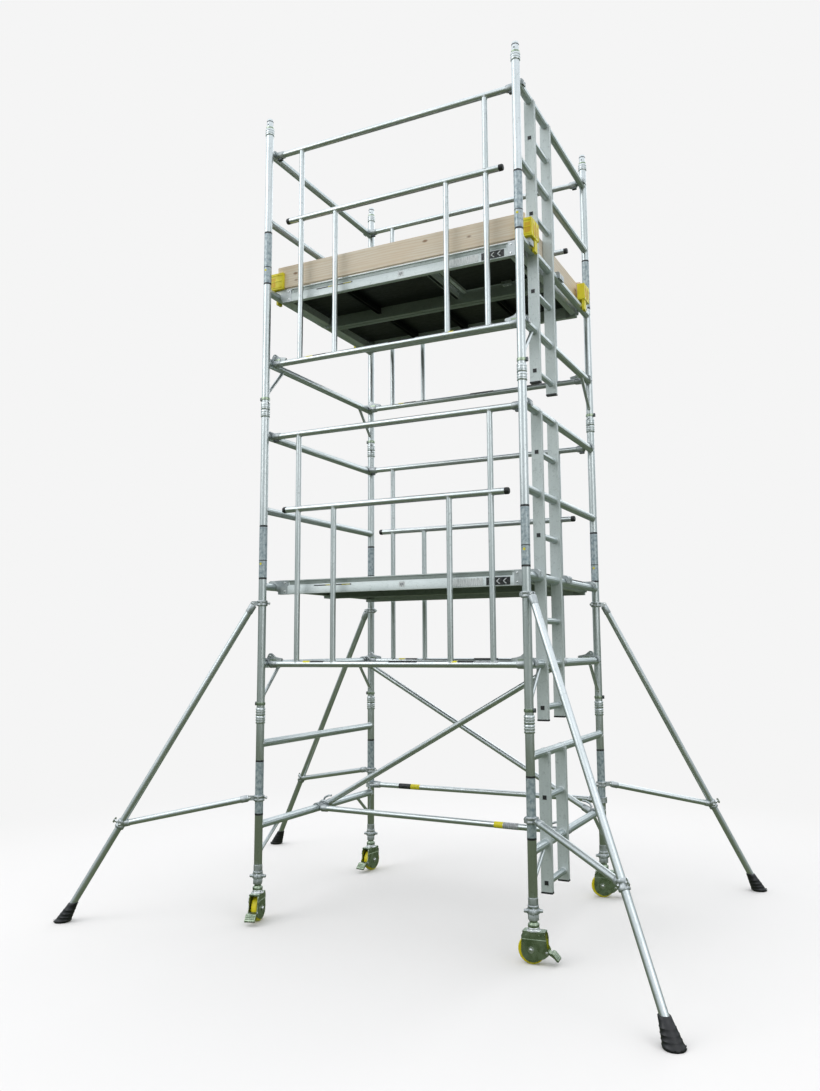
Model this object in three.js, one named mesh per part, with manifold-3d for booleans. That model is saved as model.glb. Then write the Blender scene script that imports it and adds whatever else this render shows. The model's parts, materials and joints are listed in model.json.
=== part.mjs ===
// Mobile tower scaffold. Millimetres, +Z up, +X along the decks towards the ladder end, -Y to the front.
import * as THREE from "three";
import { mergeVertices } from "three/addons/utils/BufferGeometryUtils.js";
import Module from "manifold-3d";

// Bay and frames
const HALF_LENGTH = 905; // standard centre from the bay's centre, along X
const HALF_WIDTH = 714; // along Y
const STANDARD_R = 25.4;
const RUNG_R = 24.5;
const RUNG_0 = 575; // height of the lowest rung
const PITCH = 500;
const JOINT_ABOVE_RUNG = 174; // frame joint plane over the rung below it
const JOINT_GAP = 0.4;
const COLLAR = { r: 30, below: 48, above: 50 }; // sleeve either side of a joint plane
const SPIGOT = { r: 22, length: 73 };
const SPIGOT_BORE = { r: 22.8, depth: 82 };
const BASE_END = 300; // lower end of a base frame's standards
const LEG_BORE = { r: 23.4, top: 718 };
const KNEE_R = 11;
const FRAMES = {
  base: { rungs: [0, 1], knee: { inboard: 215, drop: 165 }, ladderBelow: 275 },
  middle: { rungs: [2, 3, 4, 5], knee: { inboard: 200, drop: 215 }, ladderBelow: 320 },
  top: { rungs: [6, 7, 8, 9], knee: { inboard: 200, drop: 215 }, ladderBelow: 320 },
};

// Ladder inside the right-hand frames
const STILE = { depth: 65, y: [[-485, -455], [-180, -150]] };
const HALF_RUNG_R = 19;
const HALF_RUNG_HOLE = 24; // square opening in the front stile

// Guardrail frames
const GUARD = { y: 655, railR: 20, postR: 17.5, midEnd: 790, posts: [675, 405], mid: 1000, top: 1500 };
const CLAW = { inner: 26.5, outer: 36, width: 40, railEnd: 31 };

// Braces
const BRACE_R = 19;

// Decks and toe boards
const DECK_RUNGS = { lower: 3, upper: 7 };
const DECK = { inner: 4, outer: 599, end: 865, below: 48, above: 43, beam: 34, endBeam: 26, panel: 12 };
const HOOK = { width: 40, reach: 942, lip: 9.5, over: 26.5 };
const HATCH = { x: [215, 812], gap: 4, thickness: 14, crossbar: 22 };
const TOE = { thickness: 22, front: 600, x: 900, height: 155, lift: 55, endX: 850 };
const CLIP = { wall: 21, height: 116, armX: 56, out: 52, armY: 108, tongue: [34, 52], tongueDrop: 30 };

// Castors
const STEM = { r: 22, bottom: 187, top: 700, flangeR: 31, flangeTop: 206 };
const NUT = { bottom: 222, top: 299.5, bore: 22.5, sleeveR: 30, hexR: 31, wingR: 51 };
const FORK = { top: 170, headTop: 186.6, headR: 31, cheekIn: 26, cheekOut: 31 };
const KINGPIN = { r: 10, top: 216 };
const WHEEL = { r: 75, halfWidth: 20, trail: 10, axleR: 8, bore: 8.1 };
const PEDAL = { x: 75, z: 66, r: 7, pinR: 4, bore: 4.2, halfWidth: 25, treadHalf: 33, treadFrom: 20 };
const CASTOR_HEADING = { FL: -74, BL: -97, FR: 5, BR: 12 }; // degrees, pedal direction from +X

// Stabilisers: azimuth outward from the X direction, horizontal reach from the standard, in degrees and mm
const STABILISER = {
  FL: { azimuth: 25.5, reach: 1215 },
  BL: { azimuth: 21.5, reach: 1300 },
  FR: { azimuth: 40, reach: 1140 },
  BR: { azimuth: 33, reach: 1100 },
};
const STAB = { legR: 21, strutR: 19, topZ: 1965, lowZ: 740, lug: 60, sliderAt: 0.7 };
const COUPLER = { inner: 26.4, outer: 34, height: 36, sliderInner: 22.2, sliderOuter: 29 };
const FOOT = { topR: 29, soleR: 50, height: 114, legEnd: 0.97 };

const CORNERS = { FL: [-1, -1], FR: [1, -1], BL: [-1, 1], BR: [1, 1] };
const ROUND = 10; // sides of a plain tube
const FINE = 20; // sides of a turned or running fit

const ALUMINIUM = { color: 0xc4c8cb, roughness: 0.38, metalness: 0.9 };
const CAST = { color: 0xa9adb0, roughness: 0.55, metalness: 0.8 };
const ZINC = { color: 0x9aa19c, roughness: 0.45, metalness: 0.85 };
const YELLOW = { color: 0xe8d21d, roughness: 0.5, metalness: 0 };
const RUBBER = { color: 0x141414, roughness: 0.8, metalness: 0 };
const PINE = { color: 0xd9bb93, roughness: 0.7, metalness: 0 };

const wasm = await Module();
wasm.setup();

// ---- shapes ----

function solidOf(geometry) {
  const bare = geometry.clone();
  bare.deleteAttribute("normal");
  bare.deleteAttribute("uv");
  const merged = mergeVertices(bare, 1e-3);
  return new wasm.Manifold(
    new wasm.Mesh({
      numProp: 3,
      vertProperties: merged.attributes.position.array,
      triVerts: new Uint32Array(merged.index.array),
    }),
  );
}

function box([x0, x1], [y0, y1], [z0, z1]) {
  const g = new THREE.BoxGeometry(x1 - x0, y1 - y0, z1 - z0);
  return solidOf(g.translate((x0 + x1) / 2, (y0 + y1) / 2, (z0 + z1) / 2));
}

function alongAxis(geometry, from, to) {
  const run = to.clone().sub(from);
  const turn = new THREE.Quaternion().setFromUnitVectors(new THREE.Vector3(0, 1, 0), run.normalize());
  const middle = from.clone().add(to).multiplyScalar(0.5);
  return geometry.applyQuaternion(turn).translate(middle.x, middle.y, middle.z);
}

function rod(a, b, r, sides = ROUND) {
  const [from, to] = [new THREE.Vector3(...a), new THREE.Vector3(...b)];
  return solidOf(alongAxis(new THREE.CylinderGeometry(r, r, from.distanceTo(to), sides), from, to));
}

const post = (x, y, z0, z1, r, sides) => rod([x, y, z0], [x, y, z1], r, sides);

// A plate outline in its own x, y, extruded along +Z and then placed by a matrix.
function plate(points, thickness, matrix) {
  const g = new THREE.ExtrudeGeometry(new THREE.Shape(points.map(([x, y]) => new THREE.Vector2(x, y))), {
    depth: thickness,
    bevelEnabled: false,
  });
  return solidOf(g.applyMatrix4(matrix));
}

const basis = (x, y, z, at) =>
  new THREE.Matrix4()
    .makeBasis(new THREE.Vector3(...x), new THREE.Vector3(...y), new THREE.Vector3(...z))
    .setPosition(...at);

// An open ring that hooks over a bar: its outline's y is up and its mouth faces down.
function hookOutline(inner, outer, from = -0.3, steps = 6) {
  const arc = (r, a0, a1) =>
    Array.from({ length: steps + 1 }, (_, i) => {
      const a = a0 + ((a1 - a0) * i) / steps;
      return [r * Math.cos(a), r * Math.sin(a)];
    });
  return [...arc(outer, from, Math.PI - from), ...arc(inner, Math.PI - from, from)];
}

function sum(solids) {
  return solids.reduce((all, s) => all.add(s));
}

function less(solid, cuts) {
  return cuts.reduce((left, c) => left.subtract(c), solid);
}

const rungZ = (k) => RUNG_0 + PITCH * k;

// ---- end frames ----

function endFrame(level, sx) {
  const { rungs, knee, ladderBelow } = FRAMES[level];
  const x = sx * HALF_LENGTH;
  const low = rungZ(rungs[0]);
  const high = rungZ(rungs.at(-1));
  const joint = high + JOINT_ABOVE_RUNG;
  const isBase = level === "base";
  const bottom = isBase ? BASE_END : low - PITCH + JOINT_ABOVE_RUNG + JOINT_GAP;
  const solids = [];
  const cuts = [];
  for (const sy of [-1, 1]) {
    const y = sy * HALF_WIDTH;
    solids.push(
      post(x, y, bottom, joint, STANDARD_R),
      post(x, y, joint - COLLAR.below, joint, COLLAR.r),
      post(x, y, joint - 10, joint + SPIGOT.length, SPIGOT.r),
      rod([x, sy * (HALF_WIDTH - knee.inboard), low - 8], [x, y - sy * 12, low - knee.drop], KNEE_R, 8),
    );
    if (isBase) cuts.push(post(x, y, bottom - 1, LEG_BORE.top, LEG_BORE.r));
    else {
      solids.push(post(x, y, bottom, bottom + COLLAR.above, COLLAR.r));
      cuts.push(post(x, y, bottom - 1, bottom + SPIGOT_BORE.depth, SPIGOT_BORE.r));
    }
    if (level === "top") cuts.push(post(x, y, joint + 10, joint + SPIGOT.length + 1, SPIGOT.r - 3.5));
  }
  for (const k of rungs) solids.push(rod([x, -HALF_WIDTH, rungZ(k)], [x, HALF_WIDTH, rungZ(k)], RUNG_R));
  if (sx > 0) {
    const [front, back] = STILE.y;
    const sides = [x - STILE.depth / 2, x + STILE.depth / 2];
    for (const y of STILE.y) solids.push(box(sides, y, [low - ladderBelow, high]));
    const first = low - PITCH / 2 + (isBase ? 34 : 0);
    for (const z of [first, ...rungs.slice(0, -1).map((k) => rungZ(k) + PITCH / 2)]) {
      const half = HALF_RUNG_HOLE / 2;
      solids.push(rod([x, front[0] + 5, z], [x, back[1] - 5, z], HALF_RUNG_R));
      cuts.push(box([x - half, x + half], [front[0] - 1, front[0] + 38], [z - half, z + half]));
    }
  }
  return less(sum(solids), cuts);
}

// ---- claws, guardrails and braces ----

// Claw over a rung that runs along Y, centred on the rung's axis.
function rungClaw(x, y, z) {
  return plate(
    hookOutline(CLAW.inner, CLAW.outer),
    CLAW.width,
    basis([1, 0, 0], [0, 0, 1], [0, -1, 0], [x, y + CLAW.width / 2, z]),
  );
}

// Locking lever over a claw, lying back along the rail towards the middle of the bay.
function lockLever(sx, y, z) {
  const outline = [[6, 30], [16, 52], [34, 70], [52, 64], [62, 50], [122, 36], [122, 16], [28, 16]];
  return plate(
    outline.map(([u, v]) => [-sx * u, v]),
    16,
    basis([1, 0, 0], [0, 0, 1], [0, -1, 0], [sx * HALF_LENGTH, y + 8, z]),
  );
}

function guardrail(sy, rung) {
  const y = sy * GUARD.y;
  const z = rungZ(rung);
  const rail = (end, at) => rod([-end, y, z + at], [end, y, z + at], GUARD.railR);
  const railEnd = HALF_LENGTH - CLAW.railEnd;
  const solids = [rail(railEnd, 0), rail(GUARD.midEnd, GUARD.mid), rail(railEnd, GUARD.top)];
  for (const sx of [-1, 1]) {
    const [full, short] = GUARD.posts;
    solids.push(
      post(sx * full, y, z, z + GUARD.top, GUARD.postR),
      post(sx * short, y, z, z + GUARD.mid, GUARD.postR),
      rungClaw(sx * HALF_LENGTH, y, z),
      rungClaw(sx * HALF_LENGTH, y, z + GUARD.top),
      lockLever(sx, y, z),
    );
  }
  return sum(solids);
}

// A tube from rung to rung; the ends stop inside the claws' walls.
function rungBrace([y0, rung0], [y1, rung1]) {
  const ends = [[-HALF_LENGTH, y0, rungZ(rung0)], [HALF_LENGTH, y1, rungZ(rung1)]];
  const [from, to] = ends.map((p) => new THREE.Vector3(...p));
  const step = to.clone().sub(from).normalize().multiplyScalar(CLAW.railEnd);
  const tube = rod(from.clone().add(step).toArray(), to.clone().sub(step).toArray(), BRACE_R);
  const clear = ends.map(([x, y, z]) => rod([x, y - 60, z], [x, y + 60, z], CLAW.inner));
  return less(sum([tube, ...ends.map((p) => rungClaw(...p))]), clear);
}

// A tube between two standards, its claws closing round them from the front.
function standardBrace(sy, z) {
  const y = sy * HALF_WIDTH;
  const end = HALF_LENGTH - CLAW.railEnd;
  const claw = (x) =>
    plate(
      hookOutline(CLAW.inner, CLAW.outer),
      CLAW.width,
      basis([1, 0, 0], [0, -sy, 0], [0, 0, -sy], [x, y, z + (sy * CLAW.width) / 2]),
    );
  return sum([rod([-end, y, z], [end, y, z], BRACE_R), claw(-HALF_LENGTH), claw(HALF_LENGTH)]);
}

// ---- decks, trapdoors and toe boards ----

function deck(sy, rung, hasHatch) {
  const z = rungZ(rung);
  const top = z + DECK.above;
  const side = (a, b) => [a * sy, b * sy].sort((p, q) => p - q);
  const ends = (a, b, sx) => [a * sx, b * sx].sort((p, q) => p - q);
  const depth = [z - DECK.below, top];
  const outerBeam = side(DECK.outer - DECK.beam, DECK.outer);
  const innerBeam = side(DECK.inner, DECK.inner + DECK.beam);
  const across = side(DECK.inner + DECK.beam - 2, DECK.outer - DECK.beam + 2);
  const solids = [
    box([-DECK.end, DECK.end], outerBeam, depth),
    box([-DECK.end, DECK.end], innerBeam, depth),
    box([-DECK.end, DECK.end], across, [top - DECK.panel, top]),
  ];
  for (const sx of [-1, 1]) {
    solids.push(box(ends(DECK.end - DECK.endBeam, DECK.end, sx), across, [z - 30, top]));
    for (const beam of [DECK.inner + HOOK.width / 2, DECK.outer - HOOK.width / 2]) {
      const y = side(beam - HOOK.width / 2, beam + HOOK.width / 2);
      solids.push(
        box(ends(DECK.end - 4, HOOK.reach, sx), y, [z + HOOK.over, top]),
        box(ends(HOOK.reach - HOOK.lip, HOOK.reach, sx), y, [z - 6, top]),
      );
    }
  }
  const [x0, x1] = HATCH.x;
  const bars = hasHatch ? [x0 - HATCH.crossbar, x0 - 2 * HATCH.crossbar - 60, -420] : [420, 0, -420];
  for (const x of bars) solids.push(box([x, x + HATCH.crossbar], across, [z - 14, top - 2]));
  if (!hasHatch) return sum(solids);
  const well = side(DECK.inner + DECK.beam, DECK.outer - DECK.beam);
  return sum(solids).subtract(box([x0, x1], well, [z - 60, top + 1]));
}

function trapdoor(rung) {
  const top = rungZ(rung) + DECK.above;
  const [x0, x1] = HATCH.x;
  const y0 = -DECK.outer + DECK.beam + HATCH.gap;
  const y1 = -DECK.inner - DECK.beam - HATCH.gap;
  const leaf = box([x0 + HATCH.gap, x1 - HATCH.gap], [y0, y1], [top - HATCH.thickness, top]);
  const rib = (x) => box([x, x + 24], [y0 + 26, y1 - 8], [top - 32, top - HATCH.thickness + 1]);
  const latch = box([x1 - 260, x1 - 190], [y1 - 46, y1 - 10], [top - 46, top - HATCH.thickness + 1]);
  return sum([leaf, rib(x0 + 40), rib(x1 - 64), latch]);
}

const toeZ = () => rungZ(DECK_RUNGS.upper) + TOE.lift;

function sideToeBoard(sy) {
  const y = [sy * TOE.front, sy * (TOE.front - TOE.thickness)].sort((p, q) => p - q);
  return box([-TOE.x, TOE.x], y, [toeZ(), toeZ() + TOE.height]);
}

function endToeBoard(sx) {
  const x = [sx * TOE.endX, sx * (TOE.endX + TOE.thickness - 2)].sort((p, q) => p - q);
  const y = TOE.front - TOE.thickness - 0.5;
  return box(x, [-y, y], [toeZ(), toeZ() + TOE.height]);
}

// Corner clip: an arm outside the long board, a block past its end, and a tongue down outside the rung.
function toeClip([sx, sy]) {
  const span = (s, a, b) => [s * a, s * b].sort((p, q) => p - q);
  const rung = rungZ(DECK_RUNGS.upper);
  const z0 = rung + DECK.above + 3;
  const height = [z0, z0 + CLIP.height];
  const outer = TOE.front + 0.5;
  const end = TOE.x + CLIP.out;
  const [t0, t1] = CLIP.tongue.map((v) => HALF_LENGTH - TOE.x + v);
  return sum([
    box(span(sx, TOE.x - CLIP.armX, end), span(sy, outer, outer + CLIP.wall), height),
    box(span(sx, TOE.x + 0.5, end), span(sy, outer + 1 - CLIP.armY, outer + 1), height),
    box(span(sx, TOE.x + t0 - 5, TOE.x + t1 - 5), span(sy, 505, 552), [rung - CLIP.tongueDrop, z0 + 10]),
  ]);
}

// ---- castors: built with the stem on the Z axis and the pedal towards +X, then turned and moved ----

function castorLeg() {
  const stem = post(0, 0, STEM.bottom, STEM.top, STEM.r, FINE);
  const flange = post(0, 0, STEM.bottom, STEM.flangeTop, STEM.flangeR, FINE);
  const bore = post(0, 0, STEM.bottom - 1, KINGPIN.top + 4, KINGPIN.r + 0.35, FINE);
  return stem.add(flange).subtract(bore);
}

function adjusterNut() {
  const wings = Array.from({ length: 4 }, (_, i) => {
    const a = (i * Math.PI) / 2;
    const out = [Math.cos(a), Math.sin(a)].map((v) => v * NUT.wingR);
    const at = [Math.cos(a), Math.sin(a)].map((v) => v * 26);
    return rod([...at, NUT.bottom + 46], [...out, NUT.bottom + 46], 10, 8);
  });
  const body = sum([
    post(0, 0, NUT.bottom + 34, NUT.top, NUT.sleeveR, FINE),
    post(0, 0, NUT.bottom, NUT.bottom + 35, NUT.hexR, 6),
    ...wings,
  ]);
  return body.subtract(post(0, 0, NUT.bottom - 1, NUT.top + 1, NUT.bore, FINE));
}

function castorFork() {
  const shoulder = FORK.top - 6;
  const crown = [[-62, 150], [-56, shoulder], [66, shoulder], [72, 150], [74, 96], [86, 74], [86, 56]];
  const outline = [...crown, [66, 36], [30, 19], [-12, 13], [-42, 24], [-58, 48], [-63, 84]];
  const cheek = (y) =>
    plate(outline, FORK.cheekOut - FORK.cheekIn, basis([1, 0, 0], [0, 0, 1], [0, -1, 0], [0, y, 0]));
  return sum([
    cheek(FORK.cheekOut),
    cheek(-FORK.cheekIn),
    box([-56, 66], [-FORK.cheekOut, FORK.cheekOut], [FORK.top - 8, FORK.top]),
    post(0, 0, FORK.top - 4, FORK.headTop, FORK.headR, FINE),
    post(0, 0, FORK.headTop - 2, KINGPIN.top, KINGPIN.r, FINE),
    rod([-WHEEL.trail, -37, WHEEL.r], [-WHEEL.trail, 37, WHEEL.r], WHEEL.axleR, 24),
    rod([PEDAL.x, -FORK.cheekOut, PEDAL.z], [PEDAL.x, FORK.cheekOut, PEDAL.z], PEDAL.pinR, 16),
  ]);
}

function castorWheel() {
  const w = WHEEL.halfWidth;
  const profile = [[WHEEL.bore, -w - 2], [20, -w - 2], [22, -9], [54, -9], [58, -w], [WHEEL.r - 5, -w],
    [WHEEL.r, -w + 8], [WHEEL.r, w - 8], [WHEEL.r - 5, w], [58, w], [54, 9], [22, 9], [20, w + 2],
    [WHEEL.bore, w + 2], [WHEEL.bore, -w - 2]];
  const g = new THREE.LatheGeometry(profile.map(([r, y]) => new THREE.Vector2(r, y)), 24);
  return solidOf(g.translate(-WHEEL.trail, 0, WHEEL.r));
}

function brakePedal() {
  const place = (half) => basis([1, 0, 0], [0, 0, 1], [0, -1, 0], [PEDAL.x, half, PEDAL.z]);
  const arm = [[-4, -5], [-2, 6], [10, 6], [36, -12], [34, -22], [8, -8]];
  const tread = [[PEDAL.treadFrom, 2], [28, 4], [64, -30], [62, -39], [54, -37], [PEDAL.treadFrom, -8]];
  const boss = rod([PEDAL.x, -PEDAL.halfWidth, PEDAL.z], [PEDAL.x, PEDAL.halfWidth, PEDAL.z], PEDAL.r);
  const bore = rod([PEDAL.x, -40, PEDAL.z], [PEDAL.x, 40, PEDAL.z], PEDAL.bore, 16);
  return sum([
    plate(arm, 2 * PEDAL.halfWidth - 4, place(PEDAL.halfWidth - 2)),
    plate(tread, 2 * PEDAL.treadHalf, place(PEDAL.treadHalf)),
    boss,
  ]).subtract(bore);
}

// ---- stabilisers: built in a plane along +X from the standard, then turned and moved ----

const legFoot = (reach) => [reach, 0, 0];
const legTop = () => [STAB.lug, 0, STAB.topZ - 14];
const legPoint = (reach, t) => legTop().map((v, i) => v + (legFoot(reach)[i] - v) * t);

// A closed coupler round the standard with a lug out to the tube it carries.
function coupler(z) {
  const half = COUPLER.height / 2;
  const lug = box([COUPLER.inner + 3, STAB.lug + 12], [-11, 11], [z - half + 4, z + half - 4]);
  const bolt = rod([-COUPLER.outer - 12, -14, z], [-COUPLER.outer + 6, -14, z], 8, 8);
  const ring = post(0, 0, z - half, z + half, COUPLER.outer, FINE);
  return sum([ring, lug, bolt]).subtract(post(0, 0, z - half - 1, z + half + 1, COUPLER.inner, FINE));
}

function stabiliserLeg(reach) {
  const tube = rod(legTop(), legPoint(reach, FOOT.legEnd), STAB.legR);
  return tube.add(coupler(STAB.topZ));
}

function stabiliserFoot(reach) {
  const lean = -(reach - STAB.lug) / legTop()[2];
  const g = new THREE.CylinderGeometry(FOOT.topR, FOOT.soleR, FOOT.height, 20)
    .rotateX(Math.PI / 2)
    .translate(0, 0, FOOT.height / 2)
    .applyMatrix4(new THREE.Matrix4().makeShear(0, 0, 0, 0, lean, 0))
    .translate(reach, 0, 0);
  const bore = rod(legPoint(reach, 0.9), legPoint(reach, FOOT.legEnd + 0.004), STAB.legR + 0.8);
  return solidOf(g).subtract(bore);
}

function stabiliserStrut(reach) {
  const at = legPoint(reach, STAB.sliderAt);
  const along = new THREE.Vector3(...legPoint(reach, 1)).sub(new THREE.Vector3(...legTop())).normalize();
  const end = (s) => new THREE.Vector3(...at).addScaledVector(along, s).toArray();
  const strut = rod([STAB.lug, 0, STAB.lowZ], [at[0] - 12, 0, at[2]], STAB.strutR);
  const sleeve = rod(end(-26), end(26), COUPLER.sliderOuter);
  const hole = rod(end(-60), end(60), COUPLER.sliderInner);
  return sum([strut, sleeve, coupler(STAB.lowZ)]).subtract(hole);
}

// ---- assembly ----

const tower = new THREE.Group();

function addNode(name, solid, material, matrix) {
  const mesh = solid.getMesh();
  const step = mesh.numProp;
  const positions = new Float32Array(mesh.numVert * 3);
  for (let i = 0; i < mesh.numVert; i++) {
    positions.set(mesh.vertProperties.subarray(i * step, i * step + 3), i * 3);
  }
  const geometry = new THREE.BufferGeometry()
    .setAttribute("position", new THREE.BufferAttribute(positions, 3))
    .setIndex(new THREE.BufferAttribute(mesh.triVerts, 1));
  if (matrix) geometry.applyMatrix4(matrix);
  geometry.computeVertexNormals();
  const node = new THREE.Mesh(geometry, new THREE.MeshStandardMaterial(material));
  node.name = name;
  tower.add(node);
}

const turned = (degrees, x, y) =>
  new THREE.Matrix4().makeRotationZ(THREE.MathUtils.degToRad(degrees)).setPosition(x, y, 0);

for (const level of Object.keys(FRAMES)) {
  addNode("frame_left_" + level, endFrame(level, -1), ALUMINIUM);
  addNode("frame_right_" + level, endFrame(level, 1), ALUMINIUM);
}
for (const [level, rung] of [["lower", 2], ["upper", 6]]) {
  addNode("guardrail_front_" + level, guardrail(-1, rung), ALUMINIUM);
  addNode("guardrail_back_" + level, guardrail(1, rung), ALUMINIUM);
}
addNode("brace_front_horizontal", rungBrace([-30, 0], [-122, 0]), ALUMINIUM);
addNode("brace_diagonal_rising", rungBrace([20, 0], [-122, 2]), ALUMINIUM);
addNode("brace_diagonal_falling", rungBrace([600, 2], [510, 0]), ALUMINIUM);
addNode("brace_back_horizontal", standardBrace(1, RUNG_0 + 60), ALUMINIUM);
for (const [level, rung] of Object.entries(DECK_RUNGS)) {
  addNode("deck_front_" + level, deck(-1, rung, true), ALUMINIUM);
  addNode("deck_back_" + level, deck(1, rung, false), ALUMINIUM);
  addNode("trapdoor_" + level, trapdoor(rung), ALUMINIUM);
}
addNode("toe_board_front", sideToeBoard(-1), PINE);
addNode("toe_board_back", sideToeBoard(1), PINE);
addNode("toe_board_left", endToeBoard(-1), PINE);
addNode("toe_board_right", endToeBoard(1), PINE);
for (const [corner, [sx, sy]] of Object.entries(CORNERS)) {
  const [x, y] = [sx * HALF_LENGTH, sy * HALF_WIDTH];
  const heading = turned(CASTOR_HEADING[corner], x, y);
  const { azimuth, reach } = STABILISER[corner];
  const outward = sx > 0 ? sy * azimuth : 180 - sy * azimuth;
  const splay = turned(outward, x, y);
  addNode("toe_clip_" + corner, toeClip([sx, sy]), YELLOW);
  addNode("adjustable_leg_" + corner, castorLeg(), ZINC, turned(0, x, y));
  addNode("adjuster_nut_" + corner, adjusterNut(), ZINC, turned(20, x, y));
  addNode("castor_fork_" + corner, castorFork(), ZINC, heading);
  addNode("castor_wheel_" + corner, castorWheel(), YELLOW, heading);
  addNode("brake_pedal_" + corner, brakePedal(), ZINC, heading);
  addNode("stabiliser_leg_" + corner, stabiliserLeg(reach), ALUMINIUM, splay);
  addNode("stabiliser_foot_" + corner, stabiliserFoot(reach), RUBBER, splay);
  addNode("stabiliser_strut_" + corner, stabiliserStrut(reach), ALUMINIUM, splay);
}

// The origin is on the floor under the centre of the bounding box.
const extent = new THREE.Box3().setFromObject(tower);
const centre = extent.getCenter(new THREE.Vector3());
tower.position.set(-centre.x, -centre.y, 0);

const part = new THREE.Group();
part.name = "mobile_tower_scaffold";
part.add(tower);
export default part;
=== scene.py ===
"""Looks of the mobile tower scaffold. Metres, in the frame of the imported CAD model."""

import json
import math

import bpy
from mathutils import Matrix, Vector


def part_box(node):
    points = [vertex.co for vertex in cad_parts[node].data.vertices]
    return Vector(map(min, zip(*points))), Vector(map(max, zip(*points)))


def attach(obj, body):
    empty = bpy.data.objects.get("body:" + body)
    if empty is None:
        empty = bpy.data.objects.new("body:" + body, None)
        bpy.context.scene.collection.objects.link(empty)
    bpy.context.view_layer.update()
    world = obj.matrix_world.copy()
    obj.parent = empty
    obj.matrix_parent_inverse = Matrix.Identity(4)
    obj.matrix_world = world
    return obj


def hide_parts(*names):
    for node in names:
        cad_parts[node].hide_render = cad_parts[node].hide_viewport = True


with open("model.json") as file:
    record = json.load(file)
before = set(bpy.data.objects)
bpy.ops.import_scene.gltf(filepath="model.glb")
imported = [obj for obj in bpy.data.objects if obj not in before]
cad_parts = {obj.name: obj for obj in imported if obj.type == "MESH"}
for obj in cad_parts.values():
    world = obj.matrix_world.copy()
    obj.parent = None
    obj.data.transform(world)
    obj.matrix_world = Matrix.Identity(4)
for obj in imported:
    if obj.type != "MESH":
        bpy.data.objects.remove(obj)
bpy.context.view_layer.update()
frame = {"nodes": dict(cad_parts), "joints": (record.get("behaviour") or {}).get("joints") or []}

# ---- places, worked out from the frame ----

COLLAR_R = 0.030
SPIGOT = 0.073
DECK_ABOVE = 0.043  # deck's top over its rung's axis
STANDARD_R = 0.0254
RUNG_R = 0.0245
RAIL_R = 0.020
POST_R = 0.0175
BRACE_R = 0.019
KNEE_R = 0.011


def middle(node, axis):
    lo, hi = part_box(node)
    return (lo[axis] + hi[axis]) / 2


SIDE_X = {side: middle(f"frame_{side}_base", 0) for side in ("left", "right")}
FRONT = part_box("frame_left_base")[0].y + COLLAR_R
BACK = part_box("frame_left_base")[1].y - COLLAR_R
CENTRE = Vector(((SIDE_X["left"] + SIDE_X["right"]) / 2, (FRONT + BACK) / 2, 0))
HALF_LENGTH = SIDE_X["right"] - CENTRE.x
HALF_WIDTH = BACK - CENTRE.y
DECK_TOP = {level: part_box(f"deck_front_{level}")[1].z for level in ("lower", "upper")}
PITCH = (DECK_TOP["upper"] - DECK_TOP["lower"]) / 4
CORNERS = {"FL": (-1, -1), "FR": (1, -1), "BL": (-1, 1), "BR": (1, 1)}
RUNGS = {"base": (0, 1), "middle": (2, 3, 4, 5), "top": (6, 7, 8, 9)}
JOINT_AT = {joint["name"]: joint for joint in frame["joints"]}


def bay(x, y, z):
    """A point given from the middle of the bay."""
    return Vector((CENTRE.x + x, CENTRE.y + y, z))


def rung_z(k):
    return DECK_TOP["lower"] - DECK_ABOVE + (k - 3) * PITCH


X, Y, Z = Vector((1, 0, 0)), Vector((0, 1, 0)), Vector((0, 0, 1))

# ---- materials ----


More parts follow.
